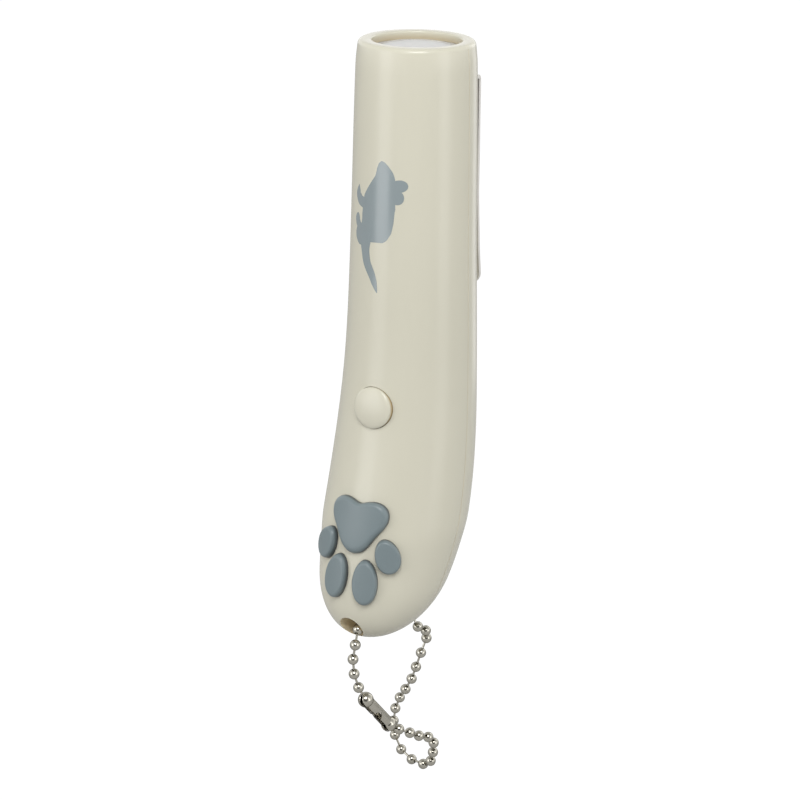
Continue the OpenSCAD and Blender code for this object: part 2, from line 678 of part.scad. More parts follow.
// Toe pads: egg-shaped ovals, leaning outwards at the tail
toe_out_x = 7.4;
toe_out_up = 21.8;
toe_out_depth = body_l - toe_out_up;
toe_out_lean = 28;
toe_in_x = 3.5;
toe_in_up = 15.8;
toe_in_depth = body_l - toe_in_up;
toe_in_lean = 9;
egg = 0.08;
function toe(l, w, lean) = function (a) let (p = [w / 2 * sin(a) * (1 - egg * cos(a)), l / 2 * cos(a)])
    [p[0] * cos(lean) + p[1] * sin(lean), -p[0] * sin(lean) + p[1] * cos(lean)];
module outer_toe(side) pad(toe_out_depth, side * toe_out_x, toe(toe_out_l, toe_out_w, -side * toe_out_lean));
module inner_toe(side) pad(toe_in_depth, side * toe_in_x, toe(toe_in_l, toe_in_w, -side * toe_in_lean));
module toe_outer_left() color(pad_grey) at_grip() outer_toe(-1);
module toe_inner_left() color(pad_grey) at_grip() inner_toe(-1);
module toe_inner_right() color(pad_grey) at_grip() inner_toe(1);
module toe_outer_right() color(pad_grey) at_grip() outer_toe(1);

// Route of the chain from one end of its connector through the tunnel to the other end,
// measured from the middle of the tunnel
route = [[3, -8, -17.5], [2, -9.5, -14], [1.5, -10.5, -10.5], [1.5, -11, -6.5], [2.2, -11, -2.2],
    [1, -8, -0.2], [0.8, -4.5, 0], [0.4, 0, 0], [0.2, 5, 0], [0.4, 9, -0.7], [2, 11.4, -3.4],
    [3.8, 11.5, -6.8], [4.2, 13.3, -8.4], [4.3, 15.8, -10.4], [3.2, 17.4, -13.5], [2.7, 16, -16.5],
    [1.8, 15.5, -20], [0.5, 15.8, -23.6], [-1, 16, -26.5], [-3.5, 17, -30.5], [-5, 17.5, -34.5],
    [-5.5, 18, -39], [-4.5, 18, -43], [-2, 17.5, -45], [1.5, 16.5, -45.5], [5.5, 15.5, -44.5],
    [7.5, 14, -41], [9, 12, -36], [9, 9, -33], [8.5, 6, -31.5], [8, 3, -29.5], [7, 0, -27.5],
    [6, -3, -25]];
tunnel_mid = [0, -shift(tunnel_depth), -tunnel_depth];
route_steps = 10;
function bend_point(a, b, c, d, t) = 0.5 * (2 * b + (c - a) * t + (2 * a - 5 * b + 4 * c - d) * t ^ 2
    + (3 * b - 3 * c + d - a) * t ^ 3);
route_end = len(route) - 1;
curve = concat([for (i = [0:route_end - 1]) for (k = [0:route_steps - 1]) bend_point(route[max(0, i - 1)],
    route[i], route[i + 1], route[min(route_end, i + 2)], k / route_steps)], [route[route_end]]);
function step_after(i) = i + 1 < len(curve) ? norm(curve[i + 1] - curve[i]) : 0;
lengths = [for (i = 0, s = 0; i < len(curve); s = s + step_after(i), i = i + 1) s];
chain_l = lengths[len(curve) - 1];
links = round(chain_l / ball_pitch);
function along_chain(s, axis) = lookup(s, [for (i = [0:len(curve) - 1]) [lengths[i], curve[i][axis]]]);
ball_at = [for (i = [0:links]) tunnel_mid + [for (axis = [0:2]) along_chain(i * chain_l / links, axis)]];
ball_r = ball_d / 2;
ball_wall = 0.2;
head_r = 0.4;
head_out = ball_r - ball_wall - head_r - fit;
module point_from(a, b) let (v = b - a)
    translate(a) rotate([0, acos(v[2] / norm(v)), atan2(v[1], v[0])]) children();

module chain_balls() color(steel) at_grip() for (i = [0:links]) difference() {
    other = i == 0 ? 1 : i - 1;
    point_from(ball_at[i], ball_at[other]) sphere(ball_r, $fn = 32);
    point_from(ball_at[i], ball_at[other]) sphere(ball_r - ball_wall, $fn = 32);
    for (k = [i - 1, i + 1]) if (k >= 0 && k <= links) point_from(ball_at[i], ball_at[k])
        cylinder(r = link_d / 2 + fit, h = ball_r + ball_wall, $fn = 24);
}
module chain_links() color(steel) at_grip() for (i = [0:links - 1])
    let (l = norm(ball_at[i + 1] - ball_at[i])) point_from(ball_at[i], ball_at[i + 1]) {
        translate([0, 0, head_out]) cylinder(r = link_d / 2, h = l - 2 * head_out, $fn = 24);
        for (z = [head_out, l - head_out]) translate([0, 0, z]) sphere(head_r, $fn = 24);
    }

// Connector: a folded sleeve with a bulb round each end ball, and a slot to slip the balls in
connector_wall = 0.35;
ball_play = 0.2;
bulb_step = 0.35;
bulb_r = ball_r + ball_play + connector_wall;
sleeve_r = bulb_r - bulb_step;
slot_w = link_d + 2 * ball_play;
slot_turn = 50;
module connector_half(r_bulb, r_sleeve, l) intersection() {
    union() {
        circle(r_bulb);
        translate([0, l]) circle(r_bulb);
        translate([-r_sleeve, 0]) square([2 * r_sleeve, l]);
    }
    translate([0, -2 * r_bulb]) square([2 * r_bulb, l + 4 * r_bulb]);
}
module chain_connector() color(steel) at_grip() difference() {
    a = ball_at[0];
    b = ball_at[links];
    l = norm(b - a);
    point_from(a, b) difference() {
        rotate_extrude() connector_half(bulb_r, sleeve_r, l);
        rotate_extrude() connector_half(bulb_r - connector_wall, sleeve_r - connector_wall, l);
        rotate(slot_turn) {
            translate([0, 0, l / 2]) rotate([90, 0, 0]) cylinder(r = ball_r + fit, h = 2 * bulb_r);
            translate([-slot_w / 2, -2 * bulb_r, 0]) cube([slot_w, 2 * bulb_r, l]);
        }
    }
    point_from(a, ball_at[1]) cylinder(r = slot_w / 2, h = 2 * bulb_r);
    point_from(b, ball_at[links - 1]) cylinder(r = slot_w / 2, h = 2 * bulb_r);
}

front_shell();
back_shell();
shell_screw();
front_window();
laser_holder();
laser_barrel();
collimator_lens();
lens_spring();
laser_diode();
driver_board();
laser_leads();
battery_cell();
battery_tabs();
battery_leads();
main_board();
board_parts();
switch_body();
switch_plunger();
button_cap();
socket_shell();
socket_tongue();
clip_root();
clip_arm();
clip_screws();
paw_pad();
toe_outer_left();
toe_inner_left();
toe_inner_right();
toe_outer_right();
chain_balls();
chain_links();
chain_connector();
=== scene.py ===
# %% [markdown]
# # A cat laser pointer, dressed for its portrait
# The solids of this pointer already exist: every shell, screw and ball of the chain. They are loaded here as
# one frame, in metres. The frame's origin is where the pocket clip touches the back of the body, +Z runs up
# the tube to the mouth, and -Y is the side with the button. What follows lays smooth moulded skins, soft
# pads, a printed mouse and proper finishes over those solids.

import bpy
import numpy as np
from mathutils import Matrix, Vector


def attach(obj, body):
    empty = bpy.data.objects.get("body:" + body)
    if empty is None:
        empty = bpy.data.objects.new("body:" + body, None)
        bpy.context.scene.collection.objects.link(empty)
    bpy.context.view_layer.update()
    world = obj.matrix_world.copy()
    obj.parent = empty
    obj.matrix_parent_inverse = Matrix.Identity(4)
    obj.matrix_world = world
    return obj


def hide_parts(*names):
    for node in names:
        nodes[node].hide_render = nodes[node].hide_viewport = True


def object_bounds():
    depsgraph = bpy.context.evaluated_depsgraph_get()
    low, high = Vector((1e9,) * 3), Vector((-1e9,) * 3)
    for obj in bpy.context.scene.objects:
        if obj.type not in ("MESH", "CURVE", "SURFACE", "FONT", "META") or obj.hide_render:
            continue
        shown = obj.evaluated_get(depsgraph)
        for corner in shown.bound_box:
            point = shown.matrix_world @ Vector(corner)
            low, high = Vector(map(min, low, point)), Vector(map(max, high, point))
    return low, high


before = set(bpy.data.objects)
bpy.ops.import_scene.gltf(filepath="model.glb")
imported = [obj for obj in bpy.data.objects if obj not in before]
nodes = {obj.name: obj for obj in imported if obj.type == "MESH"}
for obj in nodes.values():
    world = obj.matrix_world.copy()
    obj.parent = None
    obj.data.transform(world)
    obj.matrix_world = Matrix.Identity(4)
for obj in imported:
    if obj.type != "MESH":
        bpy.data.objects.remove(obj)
cad_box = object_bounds()

# %% [markdown]
# ## The measures of the body
# The body is a tube of round sections. A section at a depth below the rim has a radius, a lean of its centre
# towards the button side, and a closing factor in the round tail. The sections could be copied from the
# solids' vertices, but a formula gives a skin of any fineness and the exact direction that the surface faces,
# which gloss shows mercilessly.

# %% Measures and the body's formula
MM = 0.001
BODY_L, WALL = 129.5, 2.0
# depth below the rim and radius, in millimetres
STATIONS = np.array([[0, 12.2], [5, 12.7], [45, 13.6], [66, 14.3], [103, 16.1], [116, 14.95], [143, 14.95]])
BEND, BEND_START, BEND_POWER = 16.3, 50.0, 2.7
TAIL_ROUND, TAIL_POWER = 18.3, 2.28
RIM_ROUND, MOUTH_R, LIP_T, MOUTH_EDGE = 0.9, 9.45, 1.8, 0.4
# the frame's origin, seen from the middle of the rim
GRIP = np.array([0.0, 13.6534, -47.0])


def profile(d):
    """Radius before the tail closes: a cubic through the stations, with slopes from their neighbours."""
    x, y = STATIONS.T
    i = np.arange(len(x))
    low, high = np.maximum(i - 1, 0), np.minimum(i + 1, len(x) - 1)
    slope = (y[high] - y[low]) / (x[high] - x[low])
    slope[-2] /= 2  # softer where the swelling runs out
    i = np.clip(np.searchsorted(x, d, side="right") - 1, 0, len(x) - 2)
    h = x[i + 1] - x[i]
    t = (d - x[i]) / h
    ends = y[i] * (2 * t**3 - 3 * t**2 + 1) + y[i + 1] * (3 * t**2 - 2 * t**3)
    return ends + h * (slope[i] * (t**3 - 2 * t**2 + t) + slope[i + 1] * (t**3 - t**2))


def body_r(d):
    """Radius of the section at depth d: the profile times the closing factor of the round tail end."""
    t = np.clip((d - (BODY_L - TAIL_ROUND)) / TAIL_ROUND, 0, 1)
    return profile(d) * np.sqrt(1 - t**TAIL_POWER)


def lean(d):
    """How far the section's centre is shifted forwards: a power of the depth below the start of the bend."""
    return BEND * np.clip((d - BEND_START) / (BODY_L - BEND_START), 0, None) ** BEND_POWER


print("radius at the rim and the paw:", body_r(np.array([0.0, 103.0])))

# %% [markdown]
# ## Places on the body
# A place on the body is a depth below the rim and an angle round the tube, counted from the front. Pads and
# print are drawn in these two numbers, and they follow every curve without being bent afterwards. The
# direction that the surface faces comes from two small steps on it, one down and one round.

# %% Points and directions
def ring_point(d, r, a):
    """Point in millimetres at depth d, radius r and angle a in degrees from the front, to the right."""
    d, r, a = np.broadcast_arrays(d, r, np.radians(a))
    return np.stack([r * np.sin(a), -lean(d) - r * np.cos(a), -d], axis=-1)


def body_point(d, a):
    """Point of the outer surface at depth d and angle a."""
    return ring_point(d, body_r(d), a)


def body_normal(d, a, step=0.02):
    """Outward direction of the surface: the cross product of its two tangents, from small differences."""
    down = body_point(d + step, a) - body_point(d - step, a)
    n = np.cross(down, body_point(d, a + step) - body_point(d, a - step))
    return n / np.linalg.norm(n, axis=-1, keepdims=True)


def to_frame(p):
    """From millimetres below the rim to metres in the frame."""
    return (np.asarray(p) - GRIP) * MM


print("tip of the tail in the frame:", to_frame(body_point(np.array(BODY_L), 0.0)))

# %% [markdown]
# ## Grids become meshes
# Every new piece is a sheet of points with rows and columns. A ring of columns is closed when its last column
# joins its first. A few helpers turn such sheets into faces, so that each piece below only says where its
# points lie: an open sheet, a tube with a face over each end, or the wall between two sheets.

# %% Faces of sheets
TURNED = [1, 0, 3, 2]  # the corners of a face the other way round


def grid_faces(rows, cols, start=0, wrap=False, flip=False):
    """Four-sided faces of a sheet of rows by cols points, numbered from start."""
    i, j = np.meshgrid(np.arange(rows - 1), np.arange(cols if wrap else cols - 1), indexing="ij")
    k = (j + 1) % cols
    f = np.stack([i * cols + j, i * cols + k, (i + 1) * cols + k, (i + 1) * cols + j], axis=-1).reshape(-1, 4)
    return (f[:, ::-1] if flip else f) + start


def tube_faces(rows, cols):
    """Faces of a tube: a sheet that joins round, then one face over its first ring and one over its last."""
    ends = [np.arange(cols)[None, ::-1], np.arange((rows - 1) * cols, rows * cols)[None]]
    return [grid_faces(rows, cols, wrap=True)] + ends


def strip_faces(a, b):
    """Four-sided faces between two rows of point numbers."""
    return np.stack([a[:-1], a[1:], b[1:], b[:-1]], axis=-1)


def closed_wall(outer, inner, start=0):
    """Points and faces of the wall between two sheets of one size: both sheets, then faces on their edges."""
    rows, cols = outer.shape[:2]
    k = rows * cols
    row, col = np.arange(rows) * cols, np.arange(cols)
    side, end = strip_faces(row, k + row), strip_faces(col, k + col)
    rim = [side, side[:, TURNED] + cols - 1, end[:, TURNED], end + (rows - 1) * cols]
    faces = [grid_faces(rows, cols, start), grid_faces(rows, cols, start + k, flip=True)]
    return np.concatenate([outer.reshape(-1, 3), inner.reshape(-1, 3)]), faces + [f + start for f in rim]


print("faces of a tube with 3 rings of 8 points:", sum(len(f) for f in tube_faces(3, 8)))

# %% [markdown]
# ## From points to pieces
# A piece is a mesh that rides on one of the frame's bodies. Edges sharper than a given angle stay crisp. A
# number at each point or corner says how much of a second tone the finish shows there: the tone of a dark
# joint, painted shade or painted light. That is how the thin dark line of painted shadow at the foot of a pad
# gets its place.

# %% Pieces and marks
SHARP, TURNS = 40, 96


def piece(name, points, faces, body, slot, sharp=None):
    """A mesh object from millimetre points and a list of face arrays, riding on a body of the frame."""
    mesh = bpy.data.meshes.new(name)
    corners = [f for part in faces for f in part.tolist()]
    mesh.from_pydata(to_frame(points).reshape(-1, 3).tolist(), [], corners)
    mesh.shade_smooth()
    if sharp:
        mesh.set_sharp_from_angle(angle=np.radians(sharp))
    obj = bpy.data.objects.new(name, mesh)
    bpy.context.scene.collection.objects.link(obj)
    if body:
        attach(obj, body)
    return obj


def mark_seams_and_painted_shading(obj, values, domain):
    """Stores each point's or corner's tone: 0 plain, 1 the tone of dark joints and painted shade, 2 the painted
    bore light.
    """
    layer = obj.data.attributes.new("edge", "FLOAT", domain)
    layer.data.foreach_set("value", np.asarray(values, np.float32).ravel())


def revolve(profile_rz, turns=TURNS):
    """Points of a profile (radius, height) turned about the Z axis in that many steps, closed round."""
    a = np.linspace(0, 2 * np.pi, turns, endpoint=False)
    r, z = profile_rz[:, :1], profile_rz[:, 1:]
    return np.stack([r * np.cos(a), r * np.sin(a), z + 0 * a], axis=-1)


print("a turned form has", TURNS, "points in each ring")

# %% [markdown]
# ## The moulded skins
# The body is two mouldings that meet along a fine line down each side. The solids behind them are cut into
# flat facets, which gloss would show, so each half gets a skin of its own: an outer sheet, an inner sheet,
# and the edges between them. Near the line the radius drops by a tenth of a millimetre, as a small groove.

# %% Skins of the two halves
CAVITY_END, CAVITY_ROUND, CAVITY_TIP = 119.7, 11.0, 0.004
SEAT_R, SEAT_EDGE, SEAT_STEP = 10.4, 10.45, 0.4
TUBE_TOP, PAW_TOP, TAIL_TOP, TUBE_STEP, PAW_STEP = 2.4, 60, 106, 1.6, 0.9
TAIL_ROWS, TAIL_SWEEP, TIP_R = 60, np.radians(88.6), 0.05
GROOVE, GROOVE_W = 0.12, 1.1
SEAM_ANGLES, WIDE_ANGLES = np.array([0, 0.25, 0.5, 0.8, 1.2]), np.linspace(2, 178, 89)


def shell_rows():
    """Rows from the mouth to the tail: depth outside, depth inside and radius inside."""
    turn = np.linspace(0, np.pi / 2, 9)
    edge = turn[:5] * 2
    rim_out = RIM_ROUND * (1 - np.cos(turn))
    rim_in = np.concatenate([MOUTH_EDGE * (1 - np.cos(edge)), [LIP_T / 2, LIP_T, LIP_T, LIP_T + SEAT_STEP]])
    rim_r = np.concatenate([MOUTH_R + MOUTH_EDGE * (1 - np.sin(edge)), [MOUTH_R, MOUTH_R, SEAT_R, SEAT_EDGE]])
    tube = np.concatenate([np.arange(TUBE_TOP, PAW_TOP, TUBE_STEP), np.arange(PAW_TOP, TAIL_TOP, PAW_STEP)])
    s = np.sin(np.linspace(0, 1, TAIL_ROWS)[1:] * TAIL_SWEEP)
    out = tube[-1] + (BODY_L - tube[-1]) * s
    inside = tube[-1] + (CAVITY_END - tube[-1]) * s
    past = np.clip((inside - CAVITY_END + CAVITY_ROUND) / CAVITY_ROUND, 0, 1)
    close = np.sqrt(np.maximum(CAVITY_TIP, 1 - past**2))
    return (np.concatenate([rim_out, tube, out]), np.concatenate([rim_in, tube, inside]),
            np.concatenate([rim_r, profile(tube) - WALL, (profile(inside) - WALL) * close]))


def half_skin(first_angle):
    """Outer and inner sheets swept half a turn from first_angle, with seam, rim and tip faces between them."""
    a = np.concatenate([SEAM_ANGLES, WIDE_ANGLES, 180 - SEAM_ANGLES[::-1]])
    out_d, in_d, in_r = shell_rows()
    rim_cut = RIM_ROUND - np.sqrt(np.maximum(0, RIM_ROUND**2 - np.maximum(0, RIM_ROUND - out_d) ** 2))
    groove = np.clip(1 - np.minimum(a, 180 - a) / GROOVE_W, 0, 1) ** 2 * GROOVE
    out_r = np.maximum(TIP_R, (body_r(out_d) - rim_cut)[:, None] - groove)
    outer = ring_point(out_d[:, None], out_r, first_angle + a)
    inner = ring_point(in_d[:, None], in_r[:, None], first_angle + a)
    n, m = outer.shape[:2]
    k, e = n * m, (n - 1) * m
    row, col = np.arange(n) * m, np.arange(m)
    seam_a, rim = strip_faces(row, k + row), strip_faces(col, k + col)[:, TURNED]
    seam_b = np.roll(seam_a[:, ::-1], 1, axis=1) + m - 1
    tip_out = np.stack([0 * col[1:-1], col[1:-1], col[2:]], axis=-1) + e
    tip_in = np.stack([0 * col[1:-1], col[2:], col[1:-1]], axis=-1) + k + e
    tip = np.array([[k + e, e, e + m - 1, k + e + m - 1]])
    faces = [grid_faces(n, m), grid_faces(n, m, k, flip=True), seam_a, seam_b, rim, tip_out, tip_in, tip]
    return np.concatenate([outer.reshape(-1, 3), inner.reshape(-1, 3)]), [f[:, ::-1] for f in faces]


front_skin = piece("front_skin", *half_skin(-90.0), "housing", "ivory_plastic")
back_skin = piece("back_skin", *half_skin(90.0), "housing", "ivory_plastic")
print("faces per skin:", len(front_skin.data.polygons), len(back_skin.data.polygons))

# %% [markdown]
# ## Plugs for the holes
# The button, the chain, the charging plug and the screw behind the paw all pass through the wall. A hole could
# be woven into the grid, but cutting the finished skin with a plug of the hole's shape is how a tool maker
# thinks of it, and the result is exact. A plug is an outline carried along its own axis, then put in place.

# %% Plugs
BUTTON_D, BUTTON_TILT, BUTTON_R, BUTTON_GAP = 76.6, 8.293, 4.5, 0.1
TUNNEL_D, TUNNEL_R = 125.5, 2.8
SOCKET_D, SOCKET_L, SOCKET_W = 84.0, 9.44, 3.7
SCREW_D, SCREW_R = 102.0, 2.15
SCREW_HEAD_Y = -lean(SCREW_D) + 5
# where each plug starts and ends along its own axis
TUNNEL_SPAN, BUTTON_SPAN, SOCKET_SPAN, SCREW_SPAN = (-60, 60), (-6, 4), (6, 30), (SCREW_HEAD_Y, 40)


def turn_x(p, degrees):
    """Points turned about the X axis."""
    c, s = np.cos(np.radians(degrees)), np.sin(np.radians(degrees))
    return np.asarray(p) @ np.array([[1, 0, 0], [0, c, s], [0, -s, c]])


def at_button(p):
    """From the button's own axes, with Z pointing out of the body, to the body's."""
    return turn_x(p, 90 - BUTTON_TILT) + body_point(np.array(BUTTON_D), 0.0)


def at_tunnel(p):
    """From an axis along Y through the tail to the body's axes."""
    return turn_x(p, 90) + [0, 0, -TUNNEL_D]


def at_back(depth):
    """A place on the back of the body: Z of the plug runs along Y."""
    return lambda p: turn_x(p, -90) + [0, 0, -depth]


def circle(r, n=72):
    """Points of a circle, counter-clockwise."""
    a = np.linspace(0, 2 * np.pi, n, endpoint=False)
    return r * np.stack([np.cos(a), np.sin(a)], axis=-1)


def slot_outline(length, width, n=24):
    """A rectangle with two round ends: half circles moved apart along the second axis."""
    a = np.linspace(0, np.pi, n)
    end = width / 2 * np.stack([np.cos(a), np.sin(a)], axis=-1) + [0, (length - width) / 2]
    return np.concatenate([end, -end])


def plug(name, outline, span, place):
    """A temporary solid: a closed outline at both ends of its span along Z, then put in place."""
    ends = [np.concatenate([outline, np.full((len(outline), 1), z)], axis=1) for z in span]
    return piece(name, place(np.concatenate(ends)), tube_faces(2, len(outline)), None, None)


tunnels = [plug("tunnel_" + side, circle(TUNNEL_R), TUNNEL_SPAN, at_tunnel) for side in ("front", "back")]
button_plug = plug("button_plug", circle(BUTTON_R + BUTTON_GAP), BUTTON_SPAN, at_button)
socket_plug = plug("socket_plug", slot_outline(SOCKET_L, SOCKET_W), SOCKET_SPAN, at_back(SOCKET_D))
screw_plug = plug("screw_plug", circle(SCREW_R), SCREW_SPAN, at_back(SCREW_D))
plugs = tunnels + [button_plug, socket_plug, screw_plug]
print("plugs:", [p.name for p in plugs])

# %% [markdown]
# ## Cutting the skins
# A Boolean modifier takes the plugs out of each skin, and its result becomes the skin's mesh.

# %% Cut the holes
def cut(obj, holes):
    """Takes the plugs of its holes out of a skin and keeps the result as its mesh."""
    for p in holes:
        m = obj.modifiers.new(p.name, "BOOLEAN")
        m.object, m.operation, m.solver = p, "DIFFERENCE", "EXACT"
    done = obj.evaluated_get(bpy.context.evaluated_depsgraph_get())
    mesh = bpy.data.meshes.new_from_object(done)
    obj.modifiers.clear()
    old, obj.data = obj.data, mesh
    bpy.data.meshes.remove(old)
    mesh.name = obj.name


cut(front_skin, [tunnels[0], button_plug])
cut(back_skin, [tunnels[1], socket_plug, screw_plug])
for p in plugs:
    bpy.data.objects.remove(p)
print("faces after the cut:", len(front_skin.data.polygons), len(back_skin.data.polygons))

# %% [markdown]
# ## Facing the skins
# The cut leaves long thin faces round each hole, whose averaged normals would show as dents in the gloss. So
# the corner normals are set from the body's own formula. The same pass marks the parting line with its dark
# tone, paints shade onto the walls of the holes and deeper into the mouth, and paints light into the bore of
# the tunnel.

# %% Normals and marks
SKIN_SHARP, ON_SKIN, FACES_OUT, FACES_ASIDE = 35, 0.02, 0.9, 0.7
RIM_KEEP, TAIL_KEEP, TAIL_LAST = 1.08, 0.8, 0.05
# the tunnel's bore gets painted light, the mouth painted shade; the parting line is a dark joint
PARTING_TONE, TUNNEL_PAINTED_LIGHT, MOUTH_PAINTED_SHADE = 0.4, 2.0, 0.62
PARTING_W, MOUTH_NEAR = 0.4, 0.1


def read(elements, name, width=1, kind=np.float32):
    """One property of all vertices, corners or faces of a mesh as rows of an array."""
    values = np.empty(len(elements) * width, kind)
    elements.foreach_get(name, values)
    return values.reshape(-1, width)


def skin_seam_and_painted_shade_marks(d, r, a, facing):
    """The largest mark at depth d, radius r and angle a, on a face turned outwards by facing: the parting
    line, painted shade on hole walls and deeper into the mouth, and painted light in the tunnel's bore.
    """
    parting = (np.abs(np.abs(a) - 90) < PARTING_W) & (d > RIM_ROUND)
    # cut walls of the holes: painted shade, and painted light in the tunnel's bore
    painted_wall = (facing < FACES_ASIDE) & (d > BEND_START)
    hole = np.where(d > TUNNEL_D - 2 * TUNNEL_R, TUNNEL_PAINTED_LIGHT, 1.0) * painted_wall
    # painted shade that grows deeper into the mouth
    deep = np.clip((2 * d - MOUTH_EDGE) / (2 * LIP_T - MOUTH_EDGE), 0, 1)
    mouth_painted_shade = deep * ((r < MOUTH_R + MOUTH_NEAR) & (d < LIP_T + MOUTH_NEAR))
    return np.maximum.reduce([hole, PARTING_TONE * parting, MOUTH_PAINTED_SHADE * mouth_painted_shade])


def face_by_formula(obj):
    """Corner normals of the outer face from the body's formula; cut walls and edges keep their own."""
    mesh = obj.data
    mesh.shade_smooth()
    mesh.set_sharp_from_angle(angle=np.radians(SKIN_SHARP))
    normals = read(mesh.corner_normals, "vector", 3)
    corner = read(mesh.loops, "vertex_index", kind=np.int32).ravel()
    sides = read(mesh.polygons, "loop_total", kind=np.int32).ravel()
    flat = np.repeat(read(mesh.polygons, "normal", 3), sides, axis=0)
    p = read(mesh.vertices, "co", 3)[corner] / MM + GRIP
    d = np.clip(-p[:, 2], 0, BODY_L - TAIL_LAST)
    a = np.degrees(np.arctan2(p[:, 0], -p[:, 1] - lean(d)))
    r = np.hypot(p[:, 0], p[:, 1] + lean(d))
    ideal = body_normal(d, a)
    facing = (flat * ideal).sum(1)
    middle = (d > RIM_KEEP) & (d < BODY_L - TAIL_KEEP)
    outside = middle & (np.abs(r - body_r(d)) < ON_SKIN) & (facing > FACES_OUT)
    normals[outside] = ideal[outside]
    mesh.normals_split_custom_set(normals.tolist())
    mark_seams_and_painted_shading(obj, skin_seam_and_painted_shade_marks(d, r, a, facing), "CORNER")
    return outside.mean()


shares = [face_by_formula(front_skin), face_by_formula(back_skin)]
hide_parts("front_shell")
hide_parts("back_shell")
print("corners faced by formula:", shares)

# %% [markdown]
# ## The paw pads
# The pads are soft inserts with a nearly flat top and a round shoulder. Each is a polar sheet: the outline's
# radius in every direction, times a fraction from the middle to the edge, laid onto the body by its depth and
# angle. The height falls from the top to the edge along a rounded quarter. The foot gets painted shade, for
# the thin shadow that sits there.

# %% Pads
PAD_H, PAD_LIFT, PAD_EDGE, PAD_CURVE, PAD_SHARP = 1.6, 0.06, 0.78, 2.2, 50
PAD_R, LOBES = 5.95, (-0.174, -0.113, -0.163, 0.025)
TOP_RINGS, SHOULDER_RINGS, PAD_MIDDLE, FOOT_SHADE_START = 8, 15, 0.02, 0.8
MAIN_D = 100.5
OUTER_D, OUTER_X, OUTER_SIZE, OUTER_TILT = 107.7, 7.4, (8.1, 5.2), 28
INNER_D, INNER_X, INNER_SIZE, INNER_TILT = 113.7, 3.5, (10, 5.5), 9
EGG = 0.08


def pad(name, depth, x, outline):
    """A closed polar sheet on the body: top rings outwards, then base rings back to the middle."""
    turn = np.linspace(0, 1, SHOULDER_RINGS)[1:] * np.pi / 2
    t = np.concatenate([np.linspace(PAD_MIDDLE, PAD_EDGE, TOP_RINGS), PAD_EDGE + (1 - PAD_EDGE) * np.sin(turn)])
    u = np.clip((t - PAD_EDGE) / (1 - PAD_EDGE), 0, 1)
    top = PAD_LIFT + PAD_H * np.sqrt(np.maximum(0, 1 - u**PAD_CURVE))
    rings = np.concatenate([t, t[::-1]])
    height = np.concatenate([top, np.full(len(t), PAD_LIFT)])
    flat = outline(np.linspace(0, 2 * np.pi, TURNS, endpoint=False))[None] * rings[:, None, None]
    d = depth - flat[..., 1]
    a = np.degrees(np.arcsin(x / body_r(np.array(float(depth))))) + np.degrees(flat[..., 0] / body_r(d))
    pts = body_point(d, a) + height[:, None, None] * body_normal(d, a)
    obj = piece(name, pts, tube_faces(len(rings), TURNS), "housing", "grey_pad", PAD_SHARP)
    # painted shade that darkens towards the pad's foot
    foot = np.clip((u - FOOT_SHADE_START) / (1 - FOOT_SHADE_START), 0, 1)
    mark_seams_and_painted_shading(obj, np.repeat(np.concatenate([foot, 1 + 0 * u]), TURNS), "POINT")
    return obj


def main_outline(a):
    """Three soft lobes: a circle with small waves, measured from straight up."""
    r = PAD_R * (1 + sum(w * np.cos((k + 1) * a) for k, w in enumerate(LOBES)))
    return r[:, None] * np.stack([np.sin(a), np.cos(a)], axis=-1)


def toe_outline(length, width, tilt):
    """An egg: an ellipse a little wider towards the tail, turned by tilt."""
    c, s = np.cos(np.radians(tilt)), np.sin(np.radians(tilt))

    def shape(a):
        p, q = width / 2 * np.sin(a) * (1 - EGG * np.cos(a)), length / 2 * np.cos(a)
        return np.stack([p * c + q * s, q * c - p * s], axis=-1)

    return shape


pads = [pad("main_pad", MAIN_D, 0.0, main_outline)]
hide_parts("paw_pad")
for side, sign in (("left", -1), ("right", 1)):
    pads.append(pad("outer_pad_" + side, OUTER_D, sign * OUTER_X, toe_outline(*OUTER_SIZE, -sign * OUTER_TILT)))
    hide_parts("toe_outer_" + side)
    pads.append(pad("inner_pad_" + side, INNER_D, sign * INNER_X, toe_outline(*INNER_SIZE, -sign * INNER_TILT)))
    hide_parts("toe_inner_" + side)
print("pads:", [p.name for p in pads])

# %% [markdown]
# ## The button
# A low dome with a soft edge, turned on its own axis and set into its hole. The solid's dome is made of a few
# cones, so a finer turning replaces it; the flange and the stem behind the wall keep their sizes. The skirt
# below the dome carries painted shade, for the dark gap round the button.

# %% Button
CAP_EDGE, CAP_DOME, CAP_SKIRT, SKIRT_SHADE_FADE, POLE_R = 0.3, 1.0, -0.5, 0.2, 0.01
STEM_R, STEM_END, FLANGE_R, FLANGE_LOW, FLANGE_TOP = 1.6, -4.65, 5.1, -4.15, -3.35


def over_dome(r, low, rise, steps):
    """A quarter of an ellipse from the foot of a dome, at radius r, up to its middle."""
    turn = np.linspace(0, np.pi / 2, steps)
    dome = np.stack([r * np.cos(turn), low + rise * np.sin(turn)], axis=-1)
    dome[-1, 0] = POLE_R
    return dome


def button_profile():
    """From the stem's end out to the flange, up the skirt and over an elliptic dome to the middle."""
    back = np.array([[POLE_R, STEM_END], [STEM_R, STEM_END], [STEM_R, FLANGE_LOW], [FLANGE_R, FLANGE_LOW],
                     [FLANGE_R, FLANGE_TOP], [BUTTON_R, FLANGE_TOP], [BUTTON_R, CAP_SKIRT]])
    return np.concatenate([back, over_dome(BUTTON_R, CAP_EDGE, CAP_DOME, steps=28)])


rows = button_profile()
pts = at_button(revolve(rows).reshape(-1, 3))
button = piece("button_dome", pts, tube_faces(len(rows), TURNS), "button", "ivory_plastic", SHARP)
